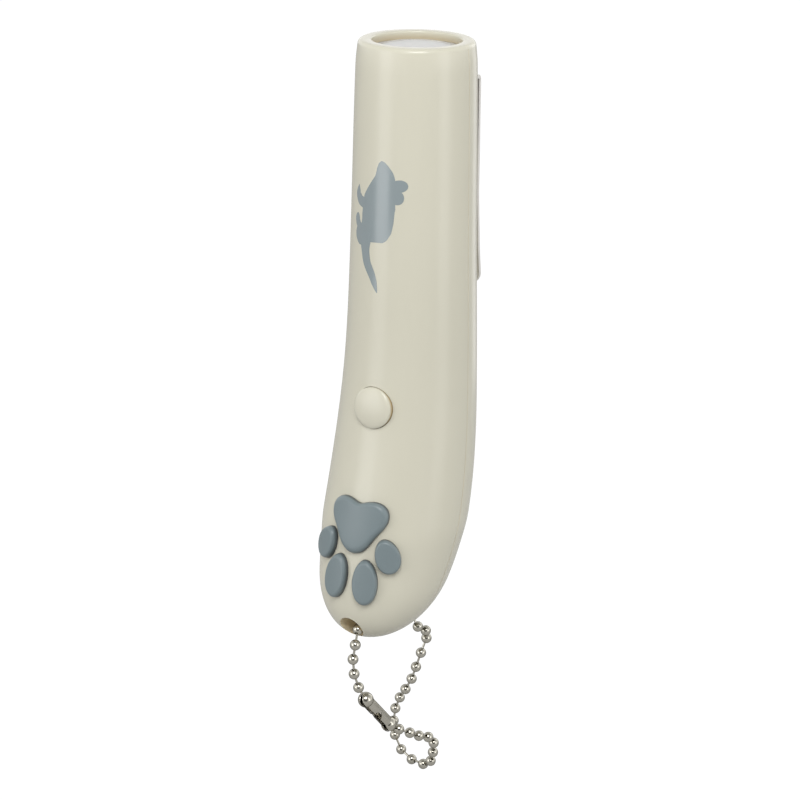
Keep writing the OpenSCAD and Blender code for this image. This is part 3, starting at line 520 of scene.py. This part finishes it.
# painted shade on the skirt below the dome's edge
skirt_painted_shade = np.clip((CAP_EDGE - rows[:, 1]) / SKIRT_SHADE_FADE, 0, 1)
mark_seams_and_painted_shading(button, np.repeat(skirt_painted_shade, TURNS), "POINT")
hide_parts("button_cap")
print("button rows:", len(rows))

# %% [markdown]
# ## Ribbons for the print
# A flat grey mouse is printed on the front, nose towards the mouth. It could be a picture on the skin, but
# drawn as a shape it stays crisp at any size. Ink has hardly any thickness, so each part of the mouse is a
# leaf a few hundredths of a millimetre thick. A leaf is a ribbon: a middle line and a half width along it.

# %% Ribbons on the body
ACROSS, LINE_POINTS, LINE_PASSES, OVAL_TIP = 9, 60, 20, 1e-4


def ribbon(line, half, rows, lift):
    """A strip on the body: the points of line (across, depth), widened by half to both sides and lifted."""
    s = np.linspace(0, 1, rows)
    t = np.linspace(0, 1, len(line))
    x, d = np.interp(s, t, line[:, 0]), np.interp(s, t, line[:, 1])
    dx, dd = np.gradient(x), np.gradient(d)
    size = np.hypot(dx, dd)
    w = half(s)[:, None] * np.linspace(-1, 1, ACROSS)
    xs, ds = x[:, None] - w * (dd / size)[:, None], d[:, None] + w * (dx / size)[:, None]
    a = np.degrees(xs / body_r(ds))
    return body_point(ds, a) + lift * body_normal(ds, a)


def smooth_line(*points):
    """A soft curve along a few points: straight pieces between them, then passes of averaging neighbours."""
    p = np.asarray(points, float)
    t, s = np.linspace(0, 1, len(p)), np.linspace(0, 1, LINE_POINTS)
    q = np.stack([np.interp(s, t, p[:, k]) for k in (0, 1)], axis=-1)
    for _ in range(LINE_PASSES):
        q[1:-1] = (q[:-2] + 2 * q[1:-1] + q[2:]) / 4
    return q


def oval(width):
    """The half width of an ellipse along its length, with the given width in the middle."""
    return lambda s: width * np.sqrt(np.maximum(OVAL_TIP, 1 - (2 * s - 1) ** 2))


def widths(*pairs):
    """A half width that follows given (position, width) pairs along the strip."""
    t, w = np.array(pairs).T
    return lambda s: np.interp(s, t, w)


print("points on a ribbon's line:", len(smooth_line((0, 0), (0, 1))))

# %% [markdown]
# ## The printed mouse
# Seven leaves make the mouse: its body, two ears, a foreleg, a hind foot, a thigh and the tail. They overlap,
# so each lies a little higher than the one before, and no two surfaces share a place.

# %% Mouse print
INK_LIFT, SHEET_STEP = 0.03, 0.003
MOUSE = {
    "body": (smooth_line((-0.1, 23.3), (0.3, 25), (0.85, 27), (0, 30), (-1.0, 33), (-1.15, 36), (-1.65, 38.5),
                         (-1.4, 40.8)),
             widths((0, 0.1), (0.03, 0.75), (0.1, 1.35), (0.21, 2.1), (0.33, 2.75), (0.43, 3.45), (0.53, 4.1),
                    (0.7, 4.15), (0.82, 4.0), (0.89, 3.7), (0.94, 3.3), (0.975, 2.8), (1, 2.0)), 90),
    "far ear": (smooth_line((2.2, 28.4), (5.9, 28.0)), oval(1.3), 30),
    "near ear": (smooth_line((2.2, 30.7), (5.1, 30.6)), oval(1.5), 30),
    "foreleg": (smooth_line((-4.4, 33.0), (-6.1, 32.6), (-6.9, 31.4), (-6.7, 29.4)),
                widths((0, 1.2), (0.3, 1.15), (0.6, 1.0), (0.85, 0.55), (1, 0.08)), 40),
    "hind foot": (smooth_line((-5.0, 38.4), (-6.6, 37.9), (-7.1, 36.9), (-6.9, 35.4)),
                  widths((0, 0.8), (0.5, 0.95), (0.8, 0.8), (0.94, 0.45), (1, 0.05)), 40),
    "thigh": (smooth_line((-6.1, 37.9), (-6.1, 39.9), (-5.4, 42.1)), oval(1.55), 40),
    "tail": (smooth_line((-4.2, 38.8), (-4.15, 42.5), (-3.6, 45.4), (-1.9, 48), (-0.5, 51.6)),
             widths((0, 1.6), (0.16, 1.6), (0.24, 1.32), (0.34, 1.18), (0.7, 1.0), (0.85, 0.75), (0.95, 0.35),
                    (1, 0.05)), 70),
}
leaves, faces, start = [], [], 0
for number, strip in enumerate(MOUSE.values()):
    leaf, sides = closed_wall(ribbon(*strip, INK_LIFT + SHEET_STEP * number), ribbon(*strip, -INK_LIFT), start)
    faces += sides
    start += len(leaf)
    leaves.append(leaf)
mouse = piece("mouse_print", np.concatenate(leaves), faces, "housing", "grey_pad", SHARP)
print("print faces:", len(mouse.data.polygons))

# %% [markdown]
# ## The ball chain
# The chain runs from one end of its connector up through the tail and back down to the other end. Its route
# is a soft curve through points that follow the loop in the photograph, counted in millimetres from the
# middle of the tunnel. Balls sit at equal steps along the curve.

# %% Chain route
ROUTE = np.array([
    [3, -8, -17.5], [2, -9.5, -14], [1.5, -10.5, -10.5], [1.5, -11, -6.5], [2.2, -11, -2.2], [1, -8, -0.2],
    [0.8, -4.5, 0], [0.4, 0, 0], [0.2, 5, 0], [0.4, 9, -0.7], [2, 11.4, -3.4], [3.8, 11.5, -6.8],
    [4.2, 13.3, -8.4], [4.3, 15.8, -10.4], [3.2, 17.4, -13.5], [2.7, 16, -16.5], [1.8, 15.5, -20],
    [0.5, 15.8, -23.6], [-1, 16, -26.5], [-3.5, 17, -30.5], [-5, 17.5, -34.5], [-5.5, 18, -39], [-4.5, 18, -43],
    [-2, 17.5, -45], [1.5, 16.5, -45.5], [5.5, 15.5, -44.5], [7.5, 14, -41], [9, 12, -36], [9, 9, -33],
    [8.5, 6, -31.5], [8, 3, -29.5], [7, 0, -27.5], [6, -3, -25]])
BALL_PITCH = 3.8


def chain_curve(points, steps=10):
    """A curve through the points whose slope at each one is half the way between its neighbours."""
    p = np.concatenate([points[:1], points, points[-1:]])
    t = (np.arange(steps) / steps)[None, :, None]
    a, b, c, d = (p[i : len(p) - 3 + i, None] for i in range(4))
    q = 0.5 * (2 * b + (c - a) * t + (2 * a - 5 * b + 4 * c - d) * t**2 + (3 * b - 3 * c + d - a) * t**3)
    return np.concatenate([q.reshape(-1, 3), points[-1:]])


tail_middle = np.array([0, -lean(TUNNEL_D), -TUNNEL_D])
curve = chain_curve(ROUTE)
run = np.concatenate([[0], np.cumsum(np.linalg.norm(np.diff(curve, axis=0), axis=1))])
links = round(run[-1] / BALL_PITCH)
where = np.linspace(0, run[-1], links + 1)
balls = np.stack([np.interp(where, run, curve[:, k]) for k in range(3)], axis=-1) + tail_middle
print("balls:", len(balls), "chain length in mm:", round(run[-1], 1))

# %% [markdown]
# ## The balls
# Each ball is a hollow bead pressed from thin sheet, with a small hole at both poles for the links. Its
# profile is turned about the direction of the chain. All balls are worked out at once: one bead, copied into
# every ball's own axes.

# %% Balls
BALL_R, BEAD_WALL, HOLE_R, LIP_IN, HOLE_ROUND = 1.2, 0.22, 0.36, 0.06, 0.05
BEAD_ROWS, BEAD_TURNS, STEEP = 22, 28, 0.9


def axes_along(t):
    """For each direction, two more at right angles to it, as the rows of a matrix."""
    t = t / np.linalg.norm(t, axis=-1, keepdims=True)
    helper = np.where(np.abs(t[:, 2:]) > STEEP, [[1.0, 0, 0]], [[0, 0, 1.0]])
    u = np.cross(helper, t)
    u /= np.linalg.norm(u, axis=-1, keepdims=True)
    return np.stack([u, np.cross(t, u), t], axis=1)


def many_turned(name, profile_rz, centres, axes, turns, slot):
    """One mesh of many copies of a closed turned profile, each in its own axes at its own centre."""
    shape = revolve(profile_rz, turns).reshape(-1, 3)
    pts = np.einsum("pk,nkc->npc", shape, axes) + centres[:, None]
    f = grid_faces(len(profile_rz) + 1, turns, wrap=True) % len(shape)
    f = f[None] + (np.arange(len(centres)) * len(shape))[:, None, None]
    return piece(name, pts, [f.reshape(-1, 4)], "chain", slot, SHARP)


def bead_profile():
    """Outer arc from hole to hole, then the thin wall's inner arc back: a closed loop."""
    hole = np.arcsin(HOLE_R / BALL_R) + HOLE_ROUND
    arc = np.linspace(hole, np.pi - hole, BEAD_ROWS)
    lip = np.array([[HOLE_R, LIP_IN - BALL_R], [HOLE_R, BEAD_WALL - BALL_R]])
    outer = BALL_R * np.stack([np.sin(arc), np.cos(arc)], axis=-1)
    inner = (BALL_R - BEAD_WALL) * np.stack([np.sin(arc[::-1]), np.cos(arc[::-1])], axis=-1)
    return np.concatenate([outer, lip, inner, lip[::-1] * [1, -1]])[::-1]


steps = np.diff(balls, axis=0)
tangent = np.concatenate([steps[:1], steps[1:] + steps[:-1], steps[-1:]])
chain_beads = many_turned("chain_beads", bead_profile(), balls, axes_along(tangent), BEAD_TURNS, "chain_nickel")
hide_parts("chain_balls")
print("bead faces:", len(chain_beads.data.polygons))

# %% [markdown]
# ## The chain's connector
# The connector is a strip of sheet metal rolled into a sleeve: a bulb at each end holds a ball, a slot runs
# along its open side, and a round opening in the middle lets a ball in. On a grid, one parameter runs along
# the sleeve and the other round it, and the gap of the slot is simply where the second one starts and stops.

# %% Connector
SLEEVE_WALL, BULB_R, SLEEVE_R, SLOT_TURN = 0.3, 1.75, 1.4, np.radians(50)
END_HOLE, SLIT, BALL_HOLE, WIDEST = 0.45, 0.45, 1.3, 0.98
BULB_ROWS, SLEEVE_ROWS, SLEEVE_COLS = 34, 90, 48
PLAIN, BORE_PAINTED_LIGHT = 0, 2


def sleeve_rows(length):
    """Radius and height of the rows: an arc over the first bulb, the tube, and the arc over the second."""
    t = np.linspace(np.arcsin(END_HOLE / BULB_R), np.pi - np.arcsin(SLEEVE_R / BULB_R), BULB_ROWS)
    r, z = BULB_R * np.sin(t), -BULB_R * np.cos(t)
    tube = np.linspace(z[-1], length - z[-1], SLEEVE_ROWS)[1:-1]
    return np.concatenate([r, SLEEVE_R + 0 * tube, r[::-1]]), np.concatenate([z, tube, length - z[::-1]])


def slot_angle(r, z, length):
    """Half angle of the open slot in radians: a narrow slit, and a round opening in the middle for a ball."""
    ball = np.sqrt(np.maximum(0, BALL_HOLE**2 - (z - length / 2) ** 2))
    return np.arcsin(np.clip(np.maximum(SLIT, ball) / r, 0, WIDEST))


def connector_wall(a, b):
    """The sleeve from ball a to ball b: a sheet at its outer radius, one a wall further in, and edges."""
    length = np.linalg.norm(b - a)
    r, z = sleeve_rows(length)
    gap = slot_angle(r, z, length)[:, None]
    phi = np.pi + SLOT_TURN + gap + np.linspace(0, 1, SLEEVE_COLS) * (2 * np.pi - 2 * gap)
    across = axes_along((b - a)[None])[0]

    def sheet(rr):
        p = np.stack([rr[:, None] * np.cos(phi), rr[:, None] * np.sin(phi), z[:, None] + 0 * phi], axis=-1)
        return p @ across + a

    return closed_wall(sheet(r), sheet(r - SLEEVE_WALL))


connector = piece("connector_sleeve", *connector_wall(balls[0], balls[-1]), "chain", "chain_nickel", SHARP)
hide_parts("chain_connector")
# the inner sheet carries painted light, which brightens the shaded inside of the sleeve
mark_seams_and_painted_shading(connector, np.repeat([PLAIN, BORE_PAINTED_LIGHT], len(connector.data.vertices) // 2), "POINT")
print("connector faces:", len(connector.data.polygons))

# %% [markdown]
# ## The window
# The mouth is closed by a clear disc with a shallow dome. A turned profile gives its flange and its dome, and
# clear plastic does the rest: the white cup and the brass barrel behind it stay visible.

# %% Window
WINDOW_R, WINDOW_BACK, DOME_R, DOME_FOOT, DOME_H = 10.3, -4.13, 8.35, -1.83, 1.1


def window_profile():
    """From the middle of the back out along the flange, in to the dome's foot and over the dome."""
    flange = [[POLE_R, WINDOW_BACK], [WINDOW_R, WINDOW_BACK], [WINDOW_R, DOME_FOOT]]
    return np.concatenate([flange, over_dome(DOME_R, DOME_FOOT, DOME_H, steps=24)])


rows = window_profile()
window = piece("clear_dome", revolve(rows), tube_faces(len(rows), TURNS), "housing", "clear_window", SHARP)
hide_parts("front_window")
print("window rows:", len(rows))

# %% [markdown]
# ## Building blocks of the finishes
# Every finish starts from the shader's own sockets for what is the same all over, and adds a little of what a
# real surface has: a slow drift of tone, a fine unevenness of gloss, a grain too small to name. A few kinds
# of node do this, and each gets a short function.

# %% Nodes in short
def feed(tree, socket, value):
    """Gives a socket a plain number, or links it to another node's output."""
    if isinstance(value, float):
        socket.default_value = value
    else:
        tree.links.new(value, socket)


def calculate(tree, operation, *values):
    """A math node on numbers or outputs."""
    node = tree.nodes.new("ShaderNodeMath")
    node.operation = operation
    for socket, value in zip(node.inputs, values):
        feed(tree, socket, value)
    return node.outputs[0]


def ramp(tree, source, low, high, start=0.0, end=1.0):
    """Maps a value between start and end to the range low to high, and holds it outside them."""
    m = tree.nodes.new("ShaderNodeMapRange")
    m.inputs["From Min"].default_value, m.inputs["From Max"].default_value = start, end
    for label, value in (("Value", source), ("To Min", low), ("To Max", high)):
        feed(tree, m.inputs[label], value)
    return m.outputs["Result"]


def noise(tree, vector, scale, detail=3.0):
    """A noise texture on the given coordinates."""
    t = tree.nodes.new("ShaderNodeTexNoise")
    for label, value in (("Vector", vector), ("Scale", scale), ("Detail", detail)):
        feed(tree, t.inputs[label], value)
    return t.outputs["Fac"]


def blend(tree, factor, a, b):
    """Mixes two colours by a factor from 0 to 1."""
    mix = tree.nodes.new("ShaderNodeMix")
    mix.data_type = "RGBA"
    for label, source, kind in (("Factor", factor, "VALUE"), ("A", a, "RGBA"), ("B", b, "RGBA")):
        socket = [i for i in mix.inputs if i.name == label and i.type == kind][0]
        tree.links.new(source, socket)
    return [o for o in mix.outputs if o.type == "RGBA"][0]


print("node functions:", [f.__name__ for f in (calculate, ramp, noise, blend)])

# %% [markdown]
# ## Effects that several finishes share
# Two effects serve all finishes, so they are node groups with their own inputs. The first is a moulded or
# cast surface: its tone drifts between two colours, and the marks on the meshes turn it to the tone of dark
# joints and painted shade, or to the painted light of bores. The second is drawn metal, whose gloss runs in
# fine lines.

# %% Shared effects as node groups
COLOR, VALUE, WHITE, BLACK = "NodeSocketColor", "NodeSocketFloat", (1, 1, 1, 1), (0, 0, 0, 1)
ALONG_Z, METAL_DRIFT, FINE_DETAIL = (1, 1, 0.03), 300.0, 5.0


def new_group(name, inputs):
    """A shader group with the given inputs, the outputs of every finish, and its two end nodes."""
    g = bpy.data.node_groups.new(name, "ShaderNodeTree")
    for label, kind, value in inputs:
        s = g.interface.new_socket(label, in_out="INPUT", socket_type=kind)
        s.default_value = value
    for label, kind in (("Color", COLOR), ("Roughness", VALUE), ("Height", VALUE)):
        g.interface.new_socket(label, in_out="OUTPUT", socket_type=kind)
    return g, g.nodes.new("NodeGroupInput").outputs, g.nodes.new("NodeGroupOutput").inputs


def moulded_group():
    """Moulded surface: tone drifts between two colours, turns to the tone of dark joints and painted shade
    at mark one and to the painted bore light at mark two; gloss varies finely, with a faint orange peel."""
    g, given, out = new_group("moulded_surface", [
        ("Tone A", COLOR, WHITE), ("Tone B", COLOR, WHITE), ("Drift", VALUE, 40.0), ("Grain", VALUE, 900.0),
        ("Gloss Low", VALUE, 0.2), ("Gloss High", VALUE, 0.3), ("Edge Tone", COLOR, BLACK),
        ("Bore Tone", COLOR, BLACK)])
    co = g.nodes.new("ShaderNodeTexCoord").outputs["Object"]
    drift = blend(g, noise(g, co, given["Drift"]), given["Tone A"], given["Tone B"])
    # the mark holds dark joints, painted shade and painted bore light
    edge = g.nodes.new("ShaderNodeAttribute")
    edge.attribute_name = "edge"
    joint_and_shade_tone = blend(g, edge.outputs["Fac"], drift, given["Edge Tone"])
    painted_bore_share = ramp(g, edge.outputs["Fac"], 0.0, 1.0, 1.0, 2.0)
    g.links.new(blend(g, painted_bore_share, joint_and_shade_tone, given["Bore Tone"]), out["Color"])
    fine = noise(g, co, given["Grain"], FINE_DETAIL)
    g.links.new(ramp(g, fine, given["Gloss Low"], given["Gloss High"]), out["Roughness"])
    g.links.new(fine, out["Height"])
    return g


def drawn_group():
    """Drawn metal: noise stretched along Z, so that gloss and height run in fine lines."""
    g, given, out = new_group("drawn_metal", [
        ("Tone A", COLOR, WHITE), ("Tone B", COLOR, WHITE), ("Lines", VALUE, 2500.0), ("Gloss Low", VALUE, 0.2),
        ("Gloss High", VALUE, 0.4)])
    co = g.nodes.new("ShaderNodeTexCoord").outputs["Object"]
    scale = g.nodes.new("ShaderNodeMapping")
    scale.inputs["Scale"].default_value = ALONG_Z
    g.links.new(co, scale.inputs["Vector"])
    fine = noise(g, scale.outputs["Vector"], given["Lines"])
    g.links.new(blend(g, noise(g, co, METAL_DRIFT), given["Tone A"], given["Tone B"]), out["Color"])
    g.links.new(ramp(g, fine, given["Gloss Low"], given["Gloss High"]), out["Roughness"])
    g.links.new(fine, out["Height"])
    return g


MOULDED, DRAWN = moulded_group(), drawn_group()
print("groups:", MOULDED.name, DRAWN.name)

# %% [markdown]
# ## Finishes of this pointer
# Ivory plastic with a light polish, soft grey rubber for the pads, glossy ink, bright nickel and satin steel
# are what the eye meets. The nickel's dark rim comes from its specular tint, which metals show at their edges.
# The rest is inside: brass, tinned parts, boards, leads and the cell's wrap.

# %% Finishes
BUMP = (0.1, 0.00002)


def finish(name, group, settings, bump=BUMP, **sockets):
    """A material whose shader takes colour, gloss and grain from a group and the rest from its own sockets."""
    m = bpy.data.materials.new(name)
    m.use_nodes = True
    tree = m.node_tree
    shader = tree.nodes["Principled BSDF"]
    for label, value in sockets.items():
        shader.inputs[label.replace("_", " ")].default_value = value
    g = tree.nodes.new("ShaderNodeGroup")
    g.node_tree = group
    for label, value in settings.items():
        g.inputs[label].default_value = value
    tree.links.new(g.outputs["Color"], shader.inputs["Base Color"])
    tree.links.new(g.outputs["Roughness"], shader.inputs["Roughness"])
    if bump:
        b = tree.nodes.new("ShaderNodeBump")
        b.inputs["Strength"].default_value, b.inputs["Distance"].default_value = bump
        tree.links.new(g.outputs["Height"], b.inputs["Height"])
        tree.links.new(b.outputs["Normal"], shader.inputs["Normal"])
    return m


def metal(a, b, low, high):
    """Settings of the drawn group: two colours and the range of its gloss."""
    return {"Tone A": (*a, 1), "Tone B": (*b, 1), "Gloss Low": low, "Gloss High": high}


def tones(a, b, low, high, edge=(0, 0, 0), painted_bore_light=(0, 0, 0), **more):
    """Settings of the moulded group: two colours, the range of its gloss, the tone of dark joints and painted
    shade, and the painted light of bores.
    """
    return {**metal(a, b, low, high), "Edge Tone": (*edge, 1), "Bore Tone": (*painted_bore_light, 1), **more}


# its dark brown is the parting line's tone and painted shade; its light tan is painted light in the tunnel
ivory = finish(
    "ivory_plastic", MOULDED,
    tones((0.60, 0.58, 0.475), (0.63, 0.608, 0.5), 0.2, 0.27, (0.42, 0.3, 0.14), (0.93, 0.82, 0.6)),
    bump=(0.05, 0.00001), Coat_Weight=0.1, Coat_Roughness=0.2)
# its dark edge colour is painted shade at the foot of each pad
soft_grey = finish(
    "soft_grey", MOULDED,
    tones((0.172, 0.215, 0.227), (0.196, 0.24, 0.253), 0.3, 0.4, (0.05, 0.06, 0.065), Grain=1500.0),
    bump=(0.25, 0.00002), Specular_IOR_Level=0.5)
ink = finish(
    "ink", MOULDED, tones((0.222, 0.268, 0.28), (0.244, 0.292, 0.304), 0.2, 0.27), bump=None,
    Specular_IOR_Level=1.0, Coat_Weight=0.7, Coat_Roughness=0.2)
# its bore colour is painted light inside the connector's sleeve
nickel = finish(
    "nickel", MOULDED,
    tones((0.5, 0.48, 0.415), (0.58, 0.558, 0.49), 0.06, 0.14, painted_bore_light=(0.95, 0.92, 0.85), Drift=500.0),
    Metallic=1.0, Specular_Tint=(0.2, 0.195, 0.18, 1.0))
clear = finish(
    "clear_plastic", MOULDED, tones((0.93, 0.93, 0.93), (0.96, 0.96, 0.96), 0.03, 0.08), bump=None,
    IOR=1.49, Alpha=0.55)
strip_steel, screw_steel, tinned, brass = (
    finish(name, DRAWN, metal(*look), Metallic=1.0) for name, *look in (
        ("strip_steel", (0.83, 0.81, 0.77), (0.88, 0.86, 0.82), 0.45, 0.6),
        ("screw_steel", (0.5, 0.5, 0.5), (0.58, 0.58, 0.57), 0.25, 0.4),
        ("tinned", (0.66, 0.66, 0.63), (0.7, 0.7, 0.68), 0.18, 0.3),
        ("brass", (0.6, 0.41, 0.15), (0.68, 0.48, 0.2), 0.2, 0.35)))
white_cup, board_green, chip_black, cell_wrap, lead_red = (
    finish(name, MOULDED, tones(*look)) for name, *look in (
        ("white_cup", (0.86, 0.86, 0.83), (0.9, 0.9, 0.87), 0.35, 0.5),
        ("board_green", (0.015, 0.09, 0.035), (0.02, 0.12, 0.05), 0.3, 0.5),
        ("chip_black", (0.012, 0.012, 0.013), (0.02, 0.02, 0.021), 0.4, 0.6),
        ("cell_wrap", (0.02, 0.09, 0.2), (0.03, 0.11, 0.24), 0.2, 0.3),
        ("lead_red", (0.35, 0.015, 0.015), (0.42, 0.02, 0.02), 0.4, 0.55)))
print("finishes:", len(bpy.data.materials))

# %% [markdown]
# ## Which piece wears what
# Each new piece and each solid that stays gets one finish on all its slots.

# %% Put on the finishes
PIECES = {
    ivory: [front_skin, back_skin, button], soft_grey: pads, ink: [mouse], nickel: [chain_beads, connector],
    clear: [window]}
SOLIDS = {
    nickel: ["chain_links"], strip_steel: ["clip_root", "clip_arm"],
    screw_steel: ["clip_screws", "shell_screw", "lens_spring"],
    tinned: ["laser_diode", "battery_tabs", "socket_shell"], brass: ["laser_barrel"],
    white_cup: ["laser_holder", "switch_plunger"], clear: ["collimator_lens"],
    board_green: ["driver_board", "main_board"], chip_black: ["board_parts", "switch_body", "socket_tongue"],
    cell_wrap: ["battery_cell"], lead_red: ["laser_leads", "battery_leads"]}


def wear(obj, material):
    """Puts one finish on every slot of an object."""
    if not obj.material_slots:
        obj.data.materials.append(material)
    for s in obj.material_slots:
        s.material = material


for material, objs in PIECES.items():
    for obj in objs:
        wear(obj, material)
for material, names in SOLIDS.items():
    for name in names:
        wear(nodes[name], material)
print("dressed:", sum(map(len, PIECES.values())), "pieces and", sum(map(len, SOLIDS.values())), "solids")

# %% [markdown]
# ## The floor
# The pointer stands over a sheet of pale paper. To the camera and through clear plastic the paper is mostly
# white light, so that the background is white; mirrored in metal it is a little brighter than paper; and for
# all other light it is plain paper that takes the shadow.

# %% Floor
FLOOR_SIZE, FLOOR_GAP, PAPER, PAPER_ROUGH = 4.0, 0.0003, 0.42, 0.9
GLOW, GLOW_SHARE, MIRROR_SHARE = 1.16, 0.85, 0.2


def studio_floor(z):
    """A large square plane whose paper turns to white light by the share that the kind of ray asks for."""
    mesh = bpy.data.meshes.new("floor")
    corners = [(-1, -1), (1, -1), (1, 1), (-1, 1)]
    mesh.from_pydata([(x * FLOOR_SIZE, y * FLOOR_SIZE, z) for x, y in corners], [], [(0, 1, 2, 3)])
    obj = bpy.data.objects.new("floor", mesh)
    bpy.context.scene.collection.objects.link(obj)
    m = bpy.data.materials.new("floor_paper")
    m.use_nodes = True
    tree = m.node_tree
    shader = tree.nodes["Principled BSDF"]
    shader.inputs["Base Color"].default_value = (PAPER, PAPER, PAPER, 1)
    shader.inputs["Roughness"].default_value = PAPER_ROUGH
    ray = tree.nodes.new("ShaderNodeLightPath").outputs
    seen = calculate(tree, "MAXIMUM", ray["Is Camera Ray"], ray["Is Transmission Ray"])
    mirrored = calculate(tree, "MULTIPLY_ADD", ray["Is Glossy Ray"], MIRROR_SHARE, seen)
    glow = tree.nodes.new("ShaderNodeEmission")
    glow.inputs["Strength"].default_value = GLOW
    mix = tree.nodes.new("ShaderNodeMixShader")
    tree.links.new(calculate(tree, "MULTIPLY", mirrored, GLOW_SHARE), mix.inputs["Fac"])
    tree.links.new(shader.outputs["BSDF"], mix.inputs[1])
    tree.links.new(glow.outputs["Emission"], mix.inputs[2])
    tree.links.new(mix.outputs["Shader"], tree.nodes["Material Output"].inputs["Surface"])
    mesh.materials.append(m)


FLOOR_Z = cad_box[0][2] - FLOOR_GAP
studio_floor(FLOOR_Z)
print("floor at", round(FLOOR_Z, 4))

# %% [markdown]
# ## The lights
# The photograph is lit from all round. A square panel above the camera gives the body its main light. Upright
# strips draw the soft lines down its left and right, and one behind it lights its far edge.

# %% Lights
AXIS_Y, STRIP_AWAY, STRIP_LOW, STRIP_TOP = -0.014, 0.30, -0.09, 0.2
KEY_AWAY, KEY_SIZE, KEY_Z = 0.5, 0.25, -0.02
OVER_FLOOR = 0.001


def panel_light(name, azimuth, elevation, distance, centre_z, size, radiance):
    """A panel of light that faces the body's axis at a height, from a direction and a distance."""
    width, height = size
    data = bpy.data.lights.new(name, "AREA")
    data.shape, data.size, data.size_y = "RECTANGLE", width, height
    data.energy = radiance * np.pi * width * height
    obj = bpy.data.objects.new(name, data)
    t, e = np.radians([azimuth, elevation])
    z = np.array([np.sin(t) * np.cos(e), -np.cos(t) * np.cos(e), np.sin(e)])
    x = np.array([np.cos(t), np.sin(t), 0])
    m = np.eye(4)
    m[:3, :3] = np.stack([x, np.cross(z, x), z], axis=1)
    m[:3, 3] = np.array([0, AXIS_Y, centre_z]) + distance * z
    obj.matrix_world = Matrix(m.tolist())
    obj.visible_camera = False
    bpy.context.scene.collection.objects.link(obj)


def strip_light(name, azimuth, low, width, radiance):
    """An upright strip beside the body, from its lower edge to the common top."""
    panel_light(name, azimuth, 0, STRIP_AWAY, (low + STRIP_TOP) / 2, (width, STRIP_TOP - low), radiance)


strip_light("left_strip", azimuth=-28, low=STRIP_LOW, width=0.14, radiance=1.4)
strip_light("right_strip", azimuth=86, low=STRIP_LOW, width=0.11, radiance=1.25)
strip_light("edge_strip", azimuth=172, low=FLOOR_Z + OVER_FLOOR, width=0.10, radiance=0.9)
panel_light("key_light", 31, 46, KEY_AWAY, KEY_Z, (KEY_SIZE, KEY_SIZE), radiance=7.8)

# %% [markdown]
# ## The world
# Some light comes from everywhere. It is brightest at the horizon, and a dark room behind the camera gives the
# nickel balls their dark middles.

# %% World
HORIZON, OVERHEAD, ROOM = 1.28, 0.34, 0.15
ROOM_SIDE, ROOM_EDGES = (0.47, -0.79, 0.4), (42, 22)


def studio_world(level, above, room):
    """Light from all round, from level at the horizon to above overhead, with a dark room; the background is
    white."""
    world = bpy.data.worlds.new("studio")
    bpy.context.scene.world = world
    world.use_nodes = True
    tree = world.node_tree
    shade = tree.nodes["Background"]
    shade.inputs["Color"].default_value = WHITE
    way = tree.nodes.new("ShaderNodeTexCoord").outputs["Generated"]
    split = tree.nodes.new("ShaderNodeSeparateXYZ")
    tree.links.new(way, split.inputs["Vector"])
    towards = tree.nodes.new("ShaderNodeVectorMath")
    towards.operation = "DOT_PRODUCT"
    tree.links.new(way, towards.inputs[0])
    towards.inputs[1].default_value = ROOM_SIDE
    start, end = np.cos(np.radians(ROOM_EDGES)).tolist()
    dark = ramp(tree, towards.outputs["Value"], 1.0, room, start, end)
    light = calculate(tree, "MULTIPLY", ramp(tree, split.outputs["Z"], level, above), dark)
    ray = tree.nodes.new("ShaderNodeLightPath").outputs
    tree.links.new(ramp(tree, ray["Is Camera Ray"], light, 1.0), shade.inputs["Strength"])


studio_world(HORIZON, OVERHEAD, ROOM)
bpy.context.scene.view_settings.view_transform = "Standard"
print("light at the horizon and overhead:", HORIZON, OVERHEAD)

# %% [markdown]
# ## The camera
# The photograph was taken from the front right and a little above, with a long lens. The camera's three axes
# are written out, with the photograph's slight roll, which brings the body's outline to about a pixel.

# %% Camera
AZIMUTH, ELEVATION, ROLL = np.radians([31.04, 20.2, 0.974])
VIEW_DEPTH, VIEW_AWAY, LENS, SENSOR = 79.644, 450.0, 91.92, 36.0
SHIFT_PIXELS, PHOTO_PIXELS = -10.88, 800


def photo_camera():
    """A long lens 450 mm from the body, 31 degrees to its right and 20 degrees above, rolled by one degree."""
    flat = np.cos(ELEVATION)
    right = np.array([np.cos(AZIMUTH), np.sin(AZIMUTH), 0])
    back = np.array([np.sin(AZIMUTH) * flat, -np.cos(AZIMUTH) * flat, np.sin(ELEVATION)])
    up = np.cross(back, right)
    data = bpy.data.cameras.new("photo_camera")
    data.lens, data.sensor_width, data.sensor_fit = LENS, SENSOR, "AUTO"
    data.shift_x = SHIFT_PIXELS / PHOTO_PIXELS
    obj = bpy.data.objects.new("photo_camera", data)
    m = np.eye(4)
    m[:3, 0] = right * np.cos(ROLL) + up * np.sin(ROLL)
    m[:3, 1] = up * np.cos(ROLL) - right * np.sin(ROLL)
    m[:3, 2] = back
    m[:3, 3] = to_frame(np.array([0, 0, -VIEW_DEPTH]) + VIEW_AWAY * back)
    obj.matrix_world = Matrix(m.tolist())
    bpy.context.scene.collection.objects.link(obj)
    bpy.context.scene.camera = obj
    return obj


camera = photo_camera()
print("camera at", [round(v, 3) for v in camera.location])
